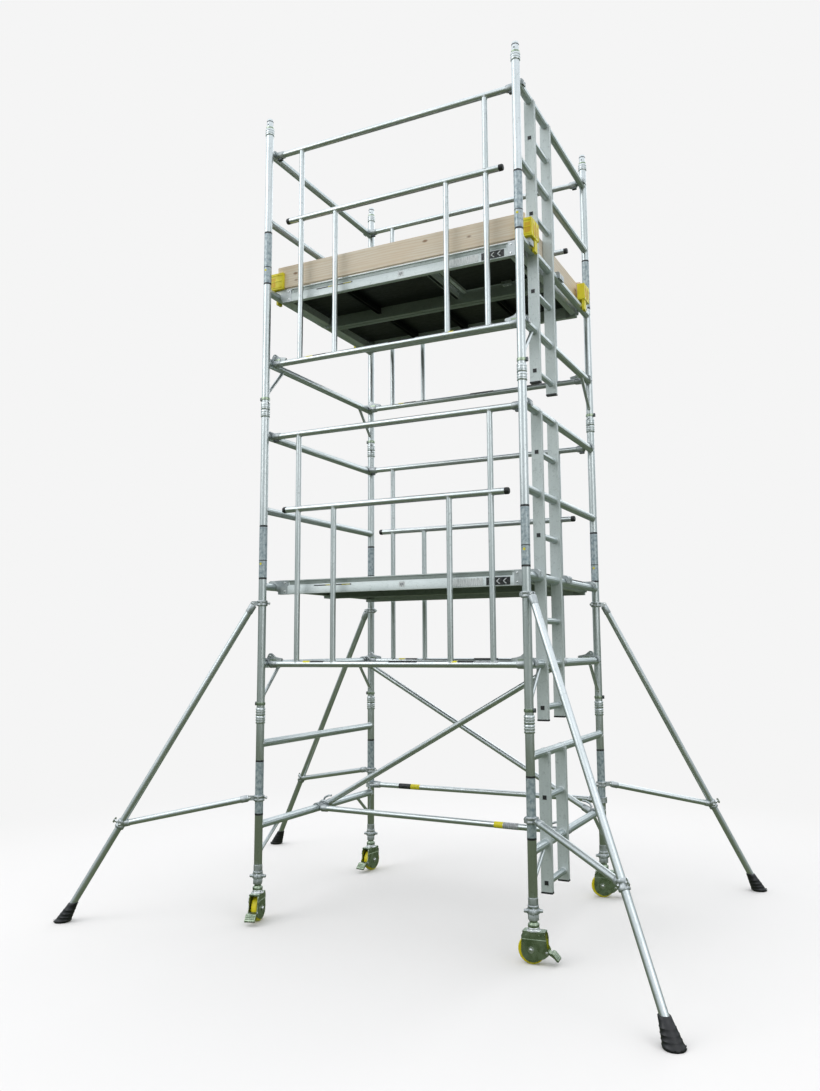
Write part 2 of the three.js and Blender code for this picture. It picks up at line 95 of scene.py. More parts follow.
class Finish:
    """A node-based material; its methods add nodes and give back their outputs."""

    def __init__(self, name, **sockets):
        self.material = bpy.data.materials.new(name)
        self.material.use_nodes = True
        self.nodes = self.material.node_tree.nodes
        self.links = self.material.node_tree.links
        self.shader = self.nodes["Principled BSDF"]
        for key, value in sockets.items():
            self.shader.inputs[key.replace("_", " ")].default_value = value
        self.place = self.nodes.new("ShaderNodeTexCoord")

    def spread(self, scale, by="UV"):
        """Coordinates in metres times scale; on a tube u runs round it and v along it."""
        mapping = self.nodes.new("ShaderNodeMapping")
        mapping.inputs["Scale"].default_value = scale
        self.links.new(self.place.outputs[by], mapping.inputs["Vector"])
        return mapping.outputs["Vector"]

    def noise(self, scale, by="UV", detail=3.0, distortion=0.0):
        node = self.nodes.new("ShaderNodeTexNoise")
        node.inputs["Scale"].default_value = 1.0
        node.inputs["Detail"].default_value = detail
        node.inputs["Distortion"].default_value = distortion
        self.links.new(self.spread(scale, by), node.inputs["Vector"])
        return node.outputs["Fac"]

    def cells(self, scale, by="Object", feature="F1"):
        node = self.nodes.new("ShaderNodeTexVoronoi")
        node.feature = feature
        node.inputs["Scale"].default_value = 1.0
        self.links.new(self.spread(scale, by), node.inputs["Vector"])
        return node.outputs["Distance"]

    def waves(self, scale, by="UV", axis="X", distortion=0.0, detail=2.0, profile="SIN"):
        node = self.nodes.new("ShaderNodeTexWave")
        node.bands_direction = axis
        node.wave_profile = profile
        node.inputs["Scale"].default_value = 1.0
        node.inputs["Distortion"].default_value = distortion
        node.inputs["Detail"].default_value = detail
        self.links.new(self.spread(scale, by), node.inputs["Vector"])
        return node.outputs["Fac"]

    def ramp(self, value, *stops):
        """Stops are (position, colour or grey)."""
        node = self.nodes.new("ShaderNodeValToRGB")
        elements = node.color_ramp.elements
        for _ in stops[2:]:
            elements.new(0.5)
        for element, (position, colour) in zip(elements, stops):
            element.position = position
            grey = isinstance(colour, (int, float))
            element.color = (colour, colour, colour, 1) if grey else (*colour, 1)
        self.links.new(value, node.inputs["Fac"])
        return node.outputs["Color"]

    def blend(self, share, a, b, how="MIX"):
        """Mixes outputs a and b; share is a number or an output."""
        node = self.nodes.new("ShaderNodeMix")
        node.data_type = "RGBA"
        node.blend_type = how
        if isinstance(share, (int, float)):
            node.inputs[0].default_value = share
        else:
            self.links.new(share, node.inputs[0])
        for socket, source in ((node.inputs[6], a), (node.inputs[7], b)):
            if isinstance(source, tuple):
                socket.default_value = (*source, 1)
            else:
                self.links.new(source, socket)
        return node.outputs[2]

    def feed(self, socket, output):
        self.links.new(output, self.shader.inputs[socket])
        return self

    def bump(self, height, distance, strength=1.0):
        node = self.nodes.new("ShaderNodeBump")
        node.inputs["Distance"].default_value = distance
        node.inputs["Strength"].default_value = strength
        self.links.new(height, node.inputs["Height"])
        self.links.new(node.outputs["Normal"], self.shader.inputs["Normal"])
        return self


def mill(name, dark, light, rough, ribs=None, metallic=1.0):
    """Drawn aluminium: fine lines along the tube, faint clouding, a few dull scuffs."""
    f = Finish(name, Metallic=metallic)
    lines = f.noise((900, 5, 1), detail=4)
    cloud = f.noise((9, 2.2, 1), detail=5)
    scuff = f.noise((60, 45, 1), detail=6, distortion=1.5)
    tone = f.blend(0.35, f.ramp(cloud, (0.3, dark), (0.7, light)), f.ramp(lines, (0.3, dark), (0.7, light)))
    worn = f.ramp(scuff, (0.56, 0.0), (0.72, 0.55))
    f.feed("Base Color", f.blend(worn, tone, tuple(c * 0.72 for c in dark)))
    low, high = rough
    f.feed("Roughness", f.ramp(f.blend(0.5, lines, scuff), (0.3, low), (0.75, high)))
    if ribs:
        height = f.waves((ribs, 0, 0), axis="X")
        return f.bump(height, 0.0012, 0.8).material
    return f.bump(lines, 0.00012, 0.6).material


def cast(name, dark, light, grain, rough=(0.38, 0.62), metallic=1.0):
    """Sand-cast or plated steel: grainy, with darker pits and rubbed highs."""
    f = Finish(name, Metallic=metallic)
    fine = f.noise((grain,) * 3, by="Object", detail=5)
    patch = f.noise((22, 22, 22), by="Object", detail=4, distortion=0.6)
    f.feed("Base Color", f.blend(0.45, f.ramp(patch, (0.35, dark), (0.65, light)),
                                 f.ramp(fine, (0.35, dark), (0.62, light))))
    f.feed("Roughness", f.ramp(patch, (0.3, rough[0]), (0.7, rough[1])))
    return f.bump(fine, 0.0006, 0.55).material


def plastic(name, dark, light, rough=(0.32, 0.5), grain=700, depth=0.00015):
    """Moulded plastic or rubber: slight colour drift, rougher where darker, and a fine texture."""
    f = Finish(name, Metallic=0.0)
    drift = f.noise((14, 14, 14), by="Object", detail=5, distortion=0.4)
    fine = f.noise((grain,) * 3, by="Object", detail=3)
    f.feed("Base Color", f.ramp(drift, (0.32, dark), (0.68, light)))
    f.feed("Roughness", f.ramp(drift, (0.3, rough[1]), (0.7, rough[0])))
    return f.bump(fine, depth, 0.7).material


def pine():
    """Planed softwood along v: growth rings drawn out into grain, with knots."""
    f = Finish("pine_board", Metallic=0.0)
    f.shader.inputs["Specular IOR Level"].default_value = 0.3
    grain = f.waves((17, 0.9, 0), distortion=11.0, detail=4, axis="X")
    fibre = f.noise((700, 14, 1), detail=5)
    broad = f.noise((8, 1.6, 1), detail=3, distortion=0.8)
    wood = f.ramp(grain, (0.0, (0.8, 0.66, 0.51)), (0.5, (0.86, 0.74, 0.6)), (1.0, (0.9, 0.8, 0.68)))
    wood = f.blend(f.ramp(broad, (0.4, 0.0), (0.75, 0.5)), wood, (0.8, 0.61, 0.43))
    wood = f.blend(f.ramp(fibre, (0.35, 0.3), (0.6, 0.0)), wood, (0.66, 0.5, 0.35))
    knot = f.cells((11.0, 5.5, 0), by="UV")
    wood = f.blend(f.ramp(knot, (0.0, 1.0), (0.07, 0.75), (0.13, 0.0)), wood, (0.26, 0.13, 0.06))
    f.feed("Base Color", wood)
    f.feed("Roughness", f.ramp(fibre, (0.3, 0.55), (0.7, 0.75)))
    return f.bump(fibre, 0.0003, 0.5).material


def film_ply(name, dark, light, gloss=0.5):
    """Film-faced plywood: nearly black, mesh-rolled, scuffed."""
    f = Finish(name, Metallic=0.0)
    f.shader.inputs["Specular IOR Level"].default_value = gloss
    mesh = f.cells((240, 240, 240), by="Object")
    scuff = f.noise((18, 60, 18), by="Object", detail=7, distortion=1.2)
    f.feed("Base Color", f.ramp(scuff, (0.42, dark), (0.72, light)))
    f.feed("Roughness", f.ramp(scuff, (0.35, 0.3), (0.7, 0.55)))
    return f.bump(mesh, 0.0006, 0.5).material


def printed(name, ground, ink, scale, edge=(0.5, 0.58), rough=0.42, metallic=0.0):
    """Printed film: a plain ground with generic flecks or lines of ink, rubbed by use."""
    f = Finish(name, Metallic=metallic)
    flecks = f.noise(scale, detail=4)
    rubbed = f.noise((120, 120, 1), detail=4)
    f.feed("Base Color", f.ramp(flecks, (edge[0], ground), (edge[1], ink)))
    f.feed("Roughness", f.ramp(rubbed, (0.35, rough - 0.1), (0.7, rough + 0.15)))
    return f.material


def make_finishes():
    return {
        "tube": mill("mill_tube", (0.55, 0.6, 0.59), (0.8, 0.83, 0.84), (0.3, 0.46)),
        "rung": mill("ribbed_rung", (0.5, 0.56, 0.56), (0.72, 0.77, 0.78), (0.34, 0.5), ribs=26.0),
        "extruded": mill("extruded_section", (0.55, 0.6, 0.59),
                         (0.71, 0.75, 0.74), (0.48, 0.64), metallic=0.55),
        # painted shade: a darker copy of the extruded aluminium, for the recessed web strip and the whole
        # inner deck beam
        "beam_shade": mill("deck_beam_web_painted_shade", (0.26, 0.3, 0.28), (0.4, 0.44, 0.42), (0.45, 0.6), metallic=0.6),
        "cast": cast("cast_aluminium", (0.36, 0.39, 0.4), (0.66, 0.69, 0.69), 420),
        "weld": cast("weld_bead", (0.5, 0.52, 0.52), (0.82, 0.84, 0.84), 900, (0.3, 0.5)),
        "zinc": cast("zinc_plate", (0.24, 0.31, 0.2), (0.52, 0.6, 0.47), 300, (0.2, 0.36)),
        "bright": cast("bright_steel", (0.6, 0.62, 0.62), (0.86, 0.87, 0.87), 700, (0.16, 0.32)),
        "dark_steel": cast("dark_steel", (0.06, 0.07, 0.07), (0.16, 0.17, 0.17), 500, (0.35, 0.55)),
        "rubber": plastic("black_rubber", (0.005, 0.005, 0.006),
                          (0.014, 0.014, 0.016), (0.28, 0.48), 500, 0.0003),
        # black caps; the same black also stands in as painted shade for the spigot's pin hole
        "cap": plastic("black_cap_and_painted_hole_shade", (0.012, 0.013, 0.013), (0.03, 0.03, 0.03), (0.35, 0.55)),
        "wheel": plastic("yellow_wheel", (0.82, 0.66, 0.01), (0.91, 0.78, 0.02), (0.3, 0.5), 600, 0.0002),
        "clip": plastic("yellow_clip", (0.86, 0.7, 0.01), (0.93, 0.82, 0.03), (0.3, 0.5)),
        # painted shade: a darker orange copy of the yellow clip plastic, for the pocket
        "clip_shade": plastic("clip_recess_painted_shade", (0.72, 0.42, 0.01), (0.85, 0.56, 0.01), (0.4, 0.6)),
        "pine": pine(),
        "ply_top": film_ply("ply_walking_face", (0.025, 0.023, 0.021), (0.08, 0.07, 0.058)),
        # the same black film as the walking face, drawn far darker as painted shade for undersides and hidden
        # stiffeners
        "ply_film": film_ply("ply_under_face_painted_shade", (0.004, 0.0045, 0.005), (0.011, 0.013, 0.013), gloss=0.2),
        "wrap": printed("wrap_film", (0.52, 0.58, 0.6),
                        (0.24, 0.31, 0.35), (60, 45, 1), (0.42, 0.68), metallic=0.45),
        "paper": printed("white_panel", (0.82, 0.83, 0.83), (0.38, 0.39, 0.4), (14, 420, 1), (0.53, 0.58)),
        "black_film": printed("black_band", (0.015, 0.016, 0.017), (0.06, 0.06, 0.06), (50, 50, 1)),
        "yellow_film": printed("yellow_band",
                               (0.84, 0.72, 0.02), (0.55, 0.45, 0.02), (60, 60, 1), (0.6, 0.75)),
        "grey_film": printed("grey_panel", (0.3, 0.31, 0.32), (0.6, 0.61, 0.62), (30, 300, 1), (0.5, 0.6)),
    }


FINISHES = make_finishes()

# ---- mesh building ----


class Shape:
    """One mesh in the making: faces with a finish each and UVs in metres."""

    def __init__(self):
        self.verts, self.faces, self.uvs, self.finishes = [], [], [], []

    def face(self, corners, uvs, finish):
        self.faces.append(corners)
        self.uvs.append(uvs)
        self.finishes.append(finish)

    def skin(self, rings, finish, closed=False, caps=True):
        """Joins equal rings of points in turn, v running from ring to ring."""
        base = len(self.verts)
        shift = (base * 0.137) % 7
        count = len(rings[0])
        for ring in rings:
            self.verts.extend(ring)
        edge = [(rings[0][(i + 1) % count] - rings[0][i]).length for i in range(count)]
        wide = max(rings, key=lambda ring: (ring[1] - ring[0]).length)
        if (wide[1] - wide[0]).length > edge[0]:
            edge = [(wide[(i + 1) % count] - wide[i]).length for i in range(count)]
        around = [sum(edge[:i]) + shift for i in range(count + 1)]
        v = [shift]
        spans = len(rings) if closed else len(rings) - 1
        for j in range(spans):
            a, b = rings[j], rings[(j + 1) % len(rings)]
            v.append(v[-1] + (b[0] - a[0]).length)
            low, high = base + j * count, base + ((j + 1) % len(rings)) * count
            for i in range(count):
                k = (i + 1) % count
                self.face(
                    [low + i, low + k, high + k, high + i],
                    [(around[i], v[j]), (around[i + 1], v[j]),
                        (around[i + 1], v[j + 1]), (around[i], v[j + 1])],
                    finish,
                )
        if caps and not closed:
            self.cap(base, rings[0], finish, True)
            self.cap(base + (len(rings) - 1) * count, rings[-1], finish, False)
        return self

    def cap(self, base, ring, finish, flip):
        origin = ring[0]
        across = (ring[1] - origin).normalized()
        normal = Vector((0, 0, 0))
        for a, b in zip(ring, ring[1:] + ring[:1]):
            normal += (a - origin).cross(b - origin)
        if normal.length < 1e-12:
            return
        up = normal.normalized().cross(across)
        order = list(range(len(ring)))
        if flip:
            order.reverse()
        uvs = [((ring[i] - origin).dot(across), (ring[i] - origin).dot(up)) for i in order]
        self.face([base + i for i in order], uvs, finish)

    def lathe(self, profile, at, axis, finish, sides=32, caps=True, start=0.0):
        """Turns (radius, distance along axis) points round the axis."""
        axis = axis.normalized()
        side = (X if abs(axis.x) < 0.9 else Y) - axis * (X if abs(axis.x) < 0.9 else Y).dot(axis)
        side.normalize()
        up = axis.cross(side)
        turn = [start + 2 * math.pi * i / sides for i in range(sides)]
        rings = [
            [at + axis * h + (side * math.cos(a) + up * math.sin(a)) * r for a in turn]
            for r, h in profile
        ]
        return self.skin(rings, finish, caps=caps)

    def tube(self, a, b, r, finish="tube", sides=32):
        run = b - a
        return self.lathe([(r, 0), (r, run.length)], a, run, finish, sides)

    def sweep(self, points, radius, finish, closed=False, sides=8):
        """A round section along a path; radius is a number or a function of the step."""
        rings = []
        count = len(points)
        side = None
        for i, p in enumerate(points):
            ahead = points[(i + 1) % count] if closed or i + 1 < count else p
            behind = points[i - 1] if closed or i else p
            along = (ahead - behind).normalized()
            side = side if side is not None else along.orthogonal()
            side = (side - along * side.dot(along)).normalized()
            up = along.cross(side)
            r = radius(i) if callable(radius) else radius
            turn = (2 * math.pi * j / sides for j in range(sides))
            rings.append([p + (side * math.cos(a) + up * math.sin(a)) * r for a in turn])
        return self.skin(rings, finish, closed=closed)

    def slab(self, outline, at, x, y, depth, finish):
        """Extrudes an outline, given in the directions x and y, along x cross y."""
        area = sum(a[0] * b[1] - b[0] * a[1] for a, b in zip(outline, outline[1:] + outline[:1]))
        outline = outline if area > 0 else outline[::-1]
        out = x.cross(y) * depth
        ring = [at + x * u + y * w for u, w in outline]
        return self.skin([ring, [p + out for p in ring]], finish)

    def block(self, lo, hi, finish, along=2):
        """A box between two corners, its v along the given axis."""
        lo, hi = Vector([min(a, b) for a, b in zip(lo, hi)]), Vector([max(a, b) for a, b in zip(lo, hi)])
        x, y = [(Y, Z), (Z, X), (X, Y)][along]
        size = hi - lo
        w, h = size.dot(x), size.dot(y)
        return self.slab([(0, 0), (w, 0), (w, h), (0, h)], lo, x, y, size[along], finish)

    def weld(self, centre, axis, r, host_axis=None, host_r=0.0, bead=0.0028):
        """A rippled bead round a tube of radius r that runs along axis from a host tube's surface."""
        axis = axis.normalized()
        side = host_axis.normalized() if host_axis else axis.orthogonal().normalized()
        across = axis.cross(side)
        points = []
        for i in range(44):
            a = 2 * math.pi * i / 44
            s, c = r * math.cos(a), r * math.sin(a)
            rise = math.sqrt(max(host_r**2 - c**2, 0)) if host_r else 0
            points.append(centre + side * s + across * c + axis * rise)
        ripple = lambda i: bead * (1 + 0.22 * math.sin(i * 2.6) + 0.1 * math.sin(i * 1.1))
        return self.sweep(points, ripple, "weld", closed=True)

    def bolt(self, at, axis, r, head=0.005, finish="bright", sides=6):
        """A hexagon head or nut on a washer."""
        self.lathe([(r * 1.45, 0), (r * 1.45, head * 0.3)], at, axis, finish, 24)
        top = head * 1.3
        profile = [(r, head * 0.3), (r, top - head * 0.2), (r * 0.86, top)]
        return self.lathe(profile, at, axis, finish, sides)

    def placed(self, matrix):
        self.verts = [matrix @ v for v in self.verts]
        return self


def arc(r, start, end, steps=16, centre=(0, 0)):
    """Points of an arc, angles in degrees."""
    angles = (math.radians(start + (end - start) * i / steps) for i in range(steps + 1))
    return [(centre[0] + r * math.cos(a), centre[1] + r * math.sin(a)) for a in angles]


SMOOTH = math.radians(50)


def piece(name, shape, body, slot, *nodes, bevel=0.0012):
    """Makes the object, rounds its edges, parents it to its body's empty and hides the CAD parts it stands
    for.
    """
    mesh = bpy.data.meshes.new(name)
    mesh.from_pydata([tuple(v) for v in shape.verts], [], shape.faces)
    used = sorted(set(shape.finishes))
    for finish in used:
        mesh.materials.append(FINISHES[finish])
    layer = mesh.uv_layers.new(name="metres")
    for polygon, uvs, finish in zip(mesh.polygons, shape.uvs, shape.finishes):
        polygon.material_index = used.index(finish)
        polygon.use_smooth = True
        for loop, uv in zip(polygon.loop_indices, uvs):
            layer.data[loop].uv = uv
    mesh.set_sharp_from_angle(angle=SMOOTH)
    obj = bpy.data.objects.new(name, mesh)
    bpy.context.scene.collection.objects.link(obj)
    if bevel:
        edge = obj.modifiers.new("edges", "BEVEL")
        edge.width = bevel
        edge.segments = 2
        edge.limit_method = "ANGLE"
        edge.angle_limit = SMOOTH
    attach(obj, body)
    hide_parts(*nodes)
    return obj


# ---- end frames ----


def grooved(top, bottom, tube_r):
    """Sleeve profile with two turned grooves, from the bottom up."""
    r, g, span = COLLAR_R, COLLAR_R - 0.0022, top - bottom
    cuts = [bottom + span * share for share in (0.3, 0.66)]
    profile = [(tube_r, bottom), (r - 0.002, bottom), (r, bottom + 0.002)]
    for cut in cuts:
        profile += [(r, cut - 0.003), (g, cut - 0.002), (g, cut + 0.002), (r, cut + 0.003)]
    return profile + [(r, top - 0.002), (r - 0.002, top), (tube_r, top)]


def wrapped(shape, x, y, z0, z1, tube_r=STANDARD_R):
    """A printed film wrap between two dark bands."""
    for a, b, finish in ((z0, z0 + 0.012, "black_film"),
                         (z0 + 0.012, z1 - 0.012, "wrap"), (z1 - 0.012, z1, "black_film")):
        r = tube_r + 0.0007
        shape.lathe([(tube_r, 0), (r, 0), (r, b - a), (tube_r, b - a)],
                    Vector((x, y, a)), Z, finish, 40, caps=False)


def interlock(shape, x, y, z, away):
    """Spring clip over a joint: a ring with its thumb tab."""
    ring = [(STANDARD_R, -0.009), (0.0288, -0.009), (0.0295, 0), (0.0288, 0.009), (STANDARD_R, 0.009)]
    shape.lathe(ring, Vector((x, y, z)), Z, "zinc", 32, caps=False)
    tab = [(-0.009, -0.011), (0.009, -0.011), (0.011, 0.004),
           (0.006, 0.013), (-0.006, 0.013), (-0.011, 0.004)]
    shape.slab(tab, Vector((x, y, z)) + away * 0.025, Z.cross(away), Z, 0.013, "dark_steel")


def standard(shape, level, x, y, bottom, joint, outward):
    r = STANDARD_R
    start = [(r - 0.002, bottom), (r, bottom + 0.002)]
    if level != "base":
        start = [(r - 0.002, bottom)] + grooved(bottom + 0.05, bottom + 0.0005, r)
    spigot_r = 0.022
    neck = [(spigot_r, joint), (spigot_r, joint + 0.064), (spigot_r - 0.003, joint + SPIGOT)]
    shape.lathe(start + grooved(joint, joint - 0.048, r) + neck, Vector((x, y, 0)), Z, "tube", 40)
    if level == "top":
        ring = [(spigot_r, 0), (spigot_r + 0.0012, 0.0012), (spigot_r + 0.0012, 0.005), (spigot_r, 0.006)]
        shape.lathe(ring, Vector((x, y, joint + 0.052)), Z, "black_film", 32, caps=False)
        shape.lathe([(spigot_r - 0.007, 0), (spigot_r - 0.007, 0.0008)],
                    Vector((x, y, joint + SPIGOT)), Z, "cap", 24)
        # painted shade: the pin hole in the spigot is a small black disc, not a cut
        hole = Vector((x, y, joint + 0.03)) - Y * (spigot_r - 0.0006)
        shape.lathe([(0.005, 0), (0.005, 0.001)], hole, -Y, "cap", 16)
        r_clip = Vector((x, y, joint + 0.008))
        shape.lathe([(spigot_r, -0.006), (0.026, -0.006), (0.0265, 0.004), (spigot_r, 0.006)],
                    r_clip, Z, "zinc", 32, caps=False)
    else:
        interlock(shape, x, y, joint + 0.076, outward)
    if level == "base":
        shape.lathe([(r, 0), (r + 0.002, 0.001), (r + 0.002, 0.036), (r, 0.037)],
                    Vector((x, y, bottom)), Z, "cast", 40, caps=False)


def knee(shape, x, sy, low, inboard, drop):
    """Corner brace from the lowest rung to the standard, a round tube welded near both ends."""
    top = bay(0, sy * (HALF_WIDTH - inboard), low - 0.008)
    foot = bay(0, sy * (HALF_WIDTH - 0.012), low - drop)
    top.x = foot.x = x
    shape.tube(top, foot, KNEE_R, "tube", 24)
    run = (foot - top).normalized()
    shape.weld(top + run * 0.018, run, KNEE_R, bead=0.0022)
    shape.weld(foot - run * 0.02, run, KNEE_R, bead=0.0022)


def ladder(shape, level, x, bottom, top):
    """Two box stiles and the half rungs between the frame's own rungs."""
    stiles = ((-0.485, -0.455), (-0.180, -0.150))
    half = 0.0325
    for y0, y1 in stiles:
        a, b = CENTRE.y + y0, CENTRE.y + y1
        lip, dip = 0.006, 0.0016
        outline = [(-half, 0), (half, 0), (half, lip),
                   (half - dip, lip + 0.002), (half - dip, 0.022), (half, 0.024), (half, 0.03)]
        outline += [(-half, 0.03), (-half, 0.024),
                    (-half + dip, 0.022), (-half + dip, lip + 0.002), (-half, lip)]
        shape.slab(outline, Vector((x, a, bottom + 0.004)), X, Y, top - bottom - 0.004, "extruded")
        shape.block((x - half - 0.001, a - 0.001, bottom),
                    (x + half + 0.001, b + 0.001, bottom + 0.01), "cap")
    rungs = RUNGS[level]
    first = rung_z(rungs[0]) - PITCH / 2 + (0.034 if level == "base" else 0)
    for z in [first] + [rung_z(k) + PITCH / 2 for k in rungs[:-1]]:
        near, far = (Vector((x, CENTRE.y + y, z)) for y in (-0.47, -0.165))
        shape.tube(near, far, 0.019, "rung", 28)
        shape.weld(near + Y * 0.016, Y, 0.019, bead=0.0022)
        shape.weld(far - Y * 0.016, -Y, 0.019, bead=0.0022)
        face = CENTRE.y - 0.485
        for inset, reach, finish in ((0.0145, 0.0012, "extruded"), (0.012, 0.0018, "cap")):
            shape.block((x - inset, face - reach, z - inset),
                        (x + inset, face + 0.004, z + inset), finish, along=1)
    for k in rungs:
        for y, way in ((-0.455, Y), (-0.18, -Y), (-0.485, -Y), (-0.15, Y)):
            shape.weld(Vector((x, CENTRE.y + y + way.y * 0.001, rung_z(k))), way, RUNG_R, bead=0.0022)


WRAPS = {"base": (0, 0.061, 0.399), "middle": (3, 0.045, 0.4), "top": (7, 0.045, 0.42)}  # rung, from, to
KNEES = {"base": (0.215, 0.165), "middle": (0.2, 0.215), "top": (0.2, 0.215)}  # inboard, drop


def end_frame(side, level):
    shape = Shape()
    node = f"frame_{side}_{level}"
    x = SIDE_X[side]
    outward = X if side == "right" else -X
    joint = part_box(node)[1].z - SPIGOT
    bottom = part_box(f"frame_left_{level}")[0].z
    rungs = RUNGS[level]
    wrap_rung, wrap_from, wrap_to = WRAPS[level]
    for sy, y in ((-1, FRONT), (1, BACK)):
        standard(shape, level, x, y, bottom, joint, outward)
        knee(shape, x, sy, rung_z(rungs[0]), *KNEES[level])
        wrapped(shape, x, y, rung_z(wrap_rung) + wrap_from, rung_z(wrap_rung) + wrap_to)
        for k in rungs:
            shape.weld(Vector((x, y, rung_z(k))), Y * -sy, RUNG_R, Z, STANDARD_R, bead=0.0034)
        if level != "base":
            ring_z = rung_z(rungs[1]) + 0.165
            shape.lathe([(STANDARD_R, 0), (STANDARD_R + 0.001, 0),
                         (STANDARD_R + 0.001, 0.006), (STANDARD_R, 0.006)],
                        Vector((x, y, ring_z)), Z, "black_film", 40, caps=False)
            shape.slab(arc(0.008, 0, 360, 15)[:-1],
                Vector((x, y, ring_z - 0.02)) - Y * (STANDARD_R - 0.0005), X, Z, 0.0015, "yellow_film")
    for k in rungs:
        shape.tube(Vector((x, FRONT + 0.012, rung_z(k))),
                   Vector((x, BACK - 0.012, rung_z(k))), RUNG_R, "rung", 40)
    if side == "right":
        ladder(shape, level, x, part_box(node)[0].z, rung_z(rungs[-1]))
    piece(node + "_look", shape, "tower", "mill_aluminium", node)


# ---- claws, guardrails and braces ----


def claw(shape, at, along, mouth, inward, width=0.04):
    """A cast hook over the bar that runs along `along`; mouth is away from its open side."""
    inner, outer = 0.0266, 0.0355
    outline = arc(outer, -16, 196) + arc(inner, 196, -16)
    across = mouth.cross(along)
    shape.slab(outline, at - along * width / 2, across, mouth, width, "cast")
    rib = arc(outer + 0.003, 20, 160) + arc(outer - 0.002, 160, 20)
    for offset in (-width / 2 + 0.002, width / 2 - 0.008):
        shape.slab(rib, at + along * offset, across, mouth, 0.006, "cast")
    shape.lathe([(0.0225, 0), (0.0262, 0.004), (0.0245, 0.05), (0.0215, 0.056)],
                at + inward * 0.03, inward, "cast", 28)


def lever(shape, at, inward):
    """The curved locking lever that lies back along a bottom rail, on its pivot."""
    outline = [(0.004, 0.028), (0.008, 0.046), *arc(0.0165, 150, 40, 6, (0.031, 0.053)), (0.052, 0.057)]
    outline += [(0.064, 0.047), (0.09, 0.04),
                *arc(0.009, 70, -80, 5, (0.112, 0.028)), (0.09, 0.017), (0.028, 0.017)]
    width = 0.016
    shape.slab([(inward.x * u, w) for u, w in outline], at + Y * width / 2, X, Z, width, "cast")
    for way in (-1, 1):
        shape.bolt(at + inward * 0.031 + Z * 0.05 + Y * way * width / 2, Y * way, 0.006, 0.003, "bright")
    shape.block(at + inward * 0.034 + Vector((0, -0.014, 0.014)),
                at + inward * 0.078 + Vector((0, 0.014, 0.03)), "zinc", along=0)


def band(shape, a, b, start, length, r, finish):
    """A strip of film wrapped on the tube from a to b."""
    run = (b - a).normalized()
    profile = [(r, 0), (r + 0.0008, 0), (r + 0.0008, length), (r, length)]
    shape.lathe(profile, a + run * start, run, finish, 32, caps=False)


def sticker(shape, x, y, z, length, finish, turn=(35, 150)):
    """A label on the upper side of a rail that runs along X."""
    outline = arc(RAIL_R + 0.0008, *turn, 14) + arc(RAIL_R - 0.0004, *reversed(turn), 14)
    shape.slab(outline, Vector((x, y, z)), Y, Z, length, finish)


RAIL_LABELS = (  # from, length, finish
    (-0.62, 0.05, "yellow_film"), (-0.565, 0.1, "black_film"), (0.0, 0.19, "black_film"),
    (0.4, 0.05, "yellow_film"), (0.455, 0.1, "black_film"), (0.56, 0.15, "grey_film"),
)


def guardrail(side, level):
    shape = Shape()
    node = f"guardrail_{side}_{level}"
    y = middle(node, 1)
    z = rung_z({"lower": 2, "upper": 6}[level])
    top, mid, mid_end = 1.5, 1.0, 0.79

    def at(x, height):
        return Vector((CENTRE.x + x, y, z + height))

    end = HALF_LENGTH - 0.031
    for height in (0, top):
        shape.tube(at(-end, height), at(end, height), RAIL_R)
    shape.tube(at(-mid_end + 0.006, mid), at(mid_end - 0.006, mid), RAIL_R)
    for sx in (-1, 1):
        inward = X * -sx
        cap = [(0.0208, 0), (0.0208, 0.02), (0.018, 0.026), (0.01, 0.027)]
        shape.lathe(cap, at(sx * (mid_end - 0.026), mid), X * sx, "cap", 32)
        for x, height in ((0.675, top), (0.405, mid)):
            shape.tube(at(sx * x, 0.008), at(sx * x, height - 0.008), POST_R)
            shape.weld(at(sx * x, 0), Z, POST_R, X, RAIL_R)
            shape.weld(at(sx * x, height), -Z, POST_R, X, RAIL_R)
        for way in (Z, -Z):
            shape.weld(at(sx * 0.675, mid), way, POST_R, X, RAIL_R)
        for height in (0, top):
            claw(shape, at(sx * HALF_LENGTH, height), Y, Z, inward)
        lever(shape, at(sx * HALF_LENGTH, 0), inward)
        low = at(sx * HALF_LENGTH, top)
        shape.block(low + inward * 0.034 + Vector((0, -0.012, -0.036)),
                    low + inward * 0.066 + Vector((0, 0.012, -0.018)), "dark_steel", along=0)
    for x, length, finish in RAIL_LABELS:
        sticker(shape, CENTRE.x + x, y, z, length, finish)
    piece(node + "_look", shape, "tower", "mill_aluminium", node)


def rung_brace(node, y0, k0, y1, k1, bands):
    """A brace between a rung of the left frame and one of the right frame."""
    shape = Shape()
    a = bay(-HALF_LENGTH, y0, rung_z(k0))
    b = bay(HALF_LENGTH, y1, rung_z(k1))
    run = (b - a).normalized()
    shape.tube(a + run * 0.031, b - run * 0.031, BRACE_R)
    for end, way in ((a, run), (b, -run)):
        inward = Vector((way.x, 0, way.z)).normalized()
        outline = arc(0.0355, -16, 196) + arc(0.0266, 196, -16)
        shape.slab(outline, end + Y * 0.02, X, Z, 0.04, "cast")
        shape.lathe([(0.022, 0), (0.025, 0.004), (0.0235, 0.048), (0.02, 0.054)],
                    end + inward * 0.031, inward, "cast", 28)
        shape.sweep([end + inward * u + Z * w for u, w in ((0.012, 0.034),
            (0.03, 0.05), (0.06, 0.048), (0.09, 0.036))],
                    0.007, "cast", sides=10)
    for start, length, finish in bands:
        band(shape, a, b, start, length, BRACE_R, finish)
    piece(node + "_look", shape, "tower", "mill_aluminium", node)


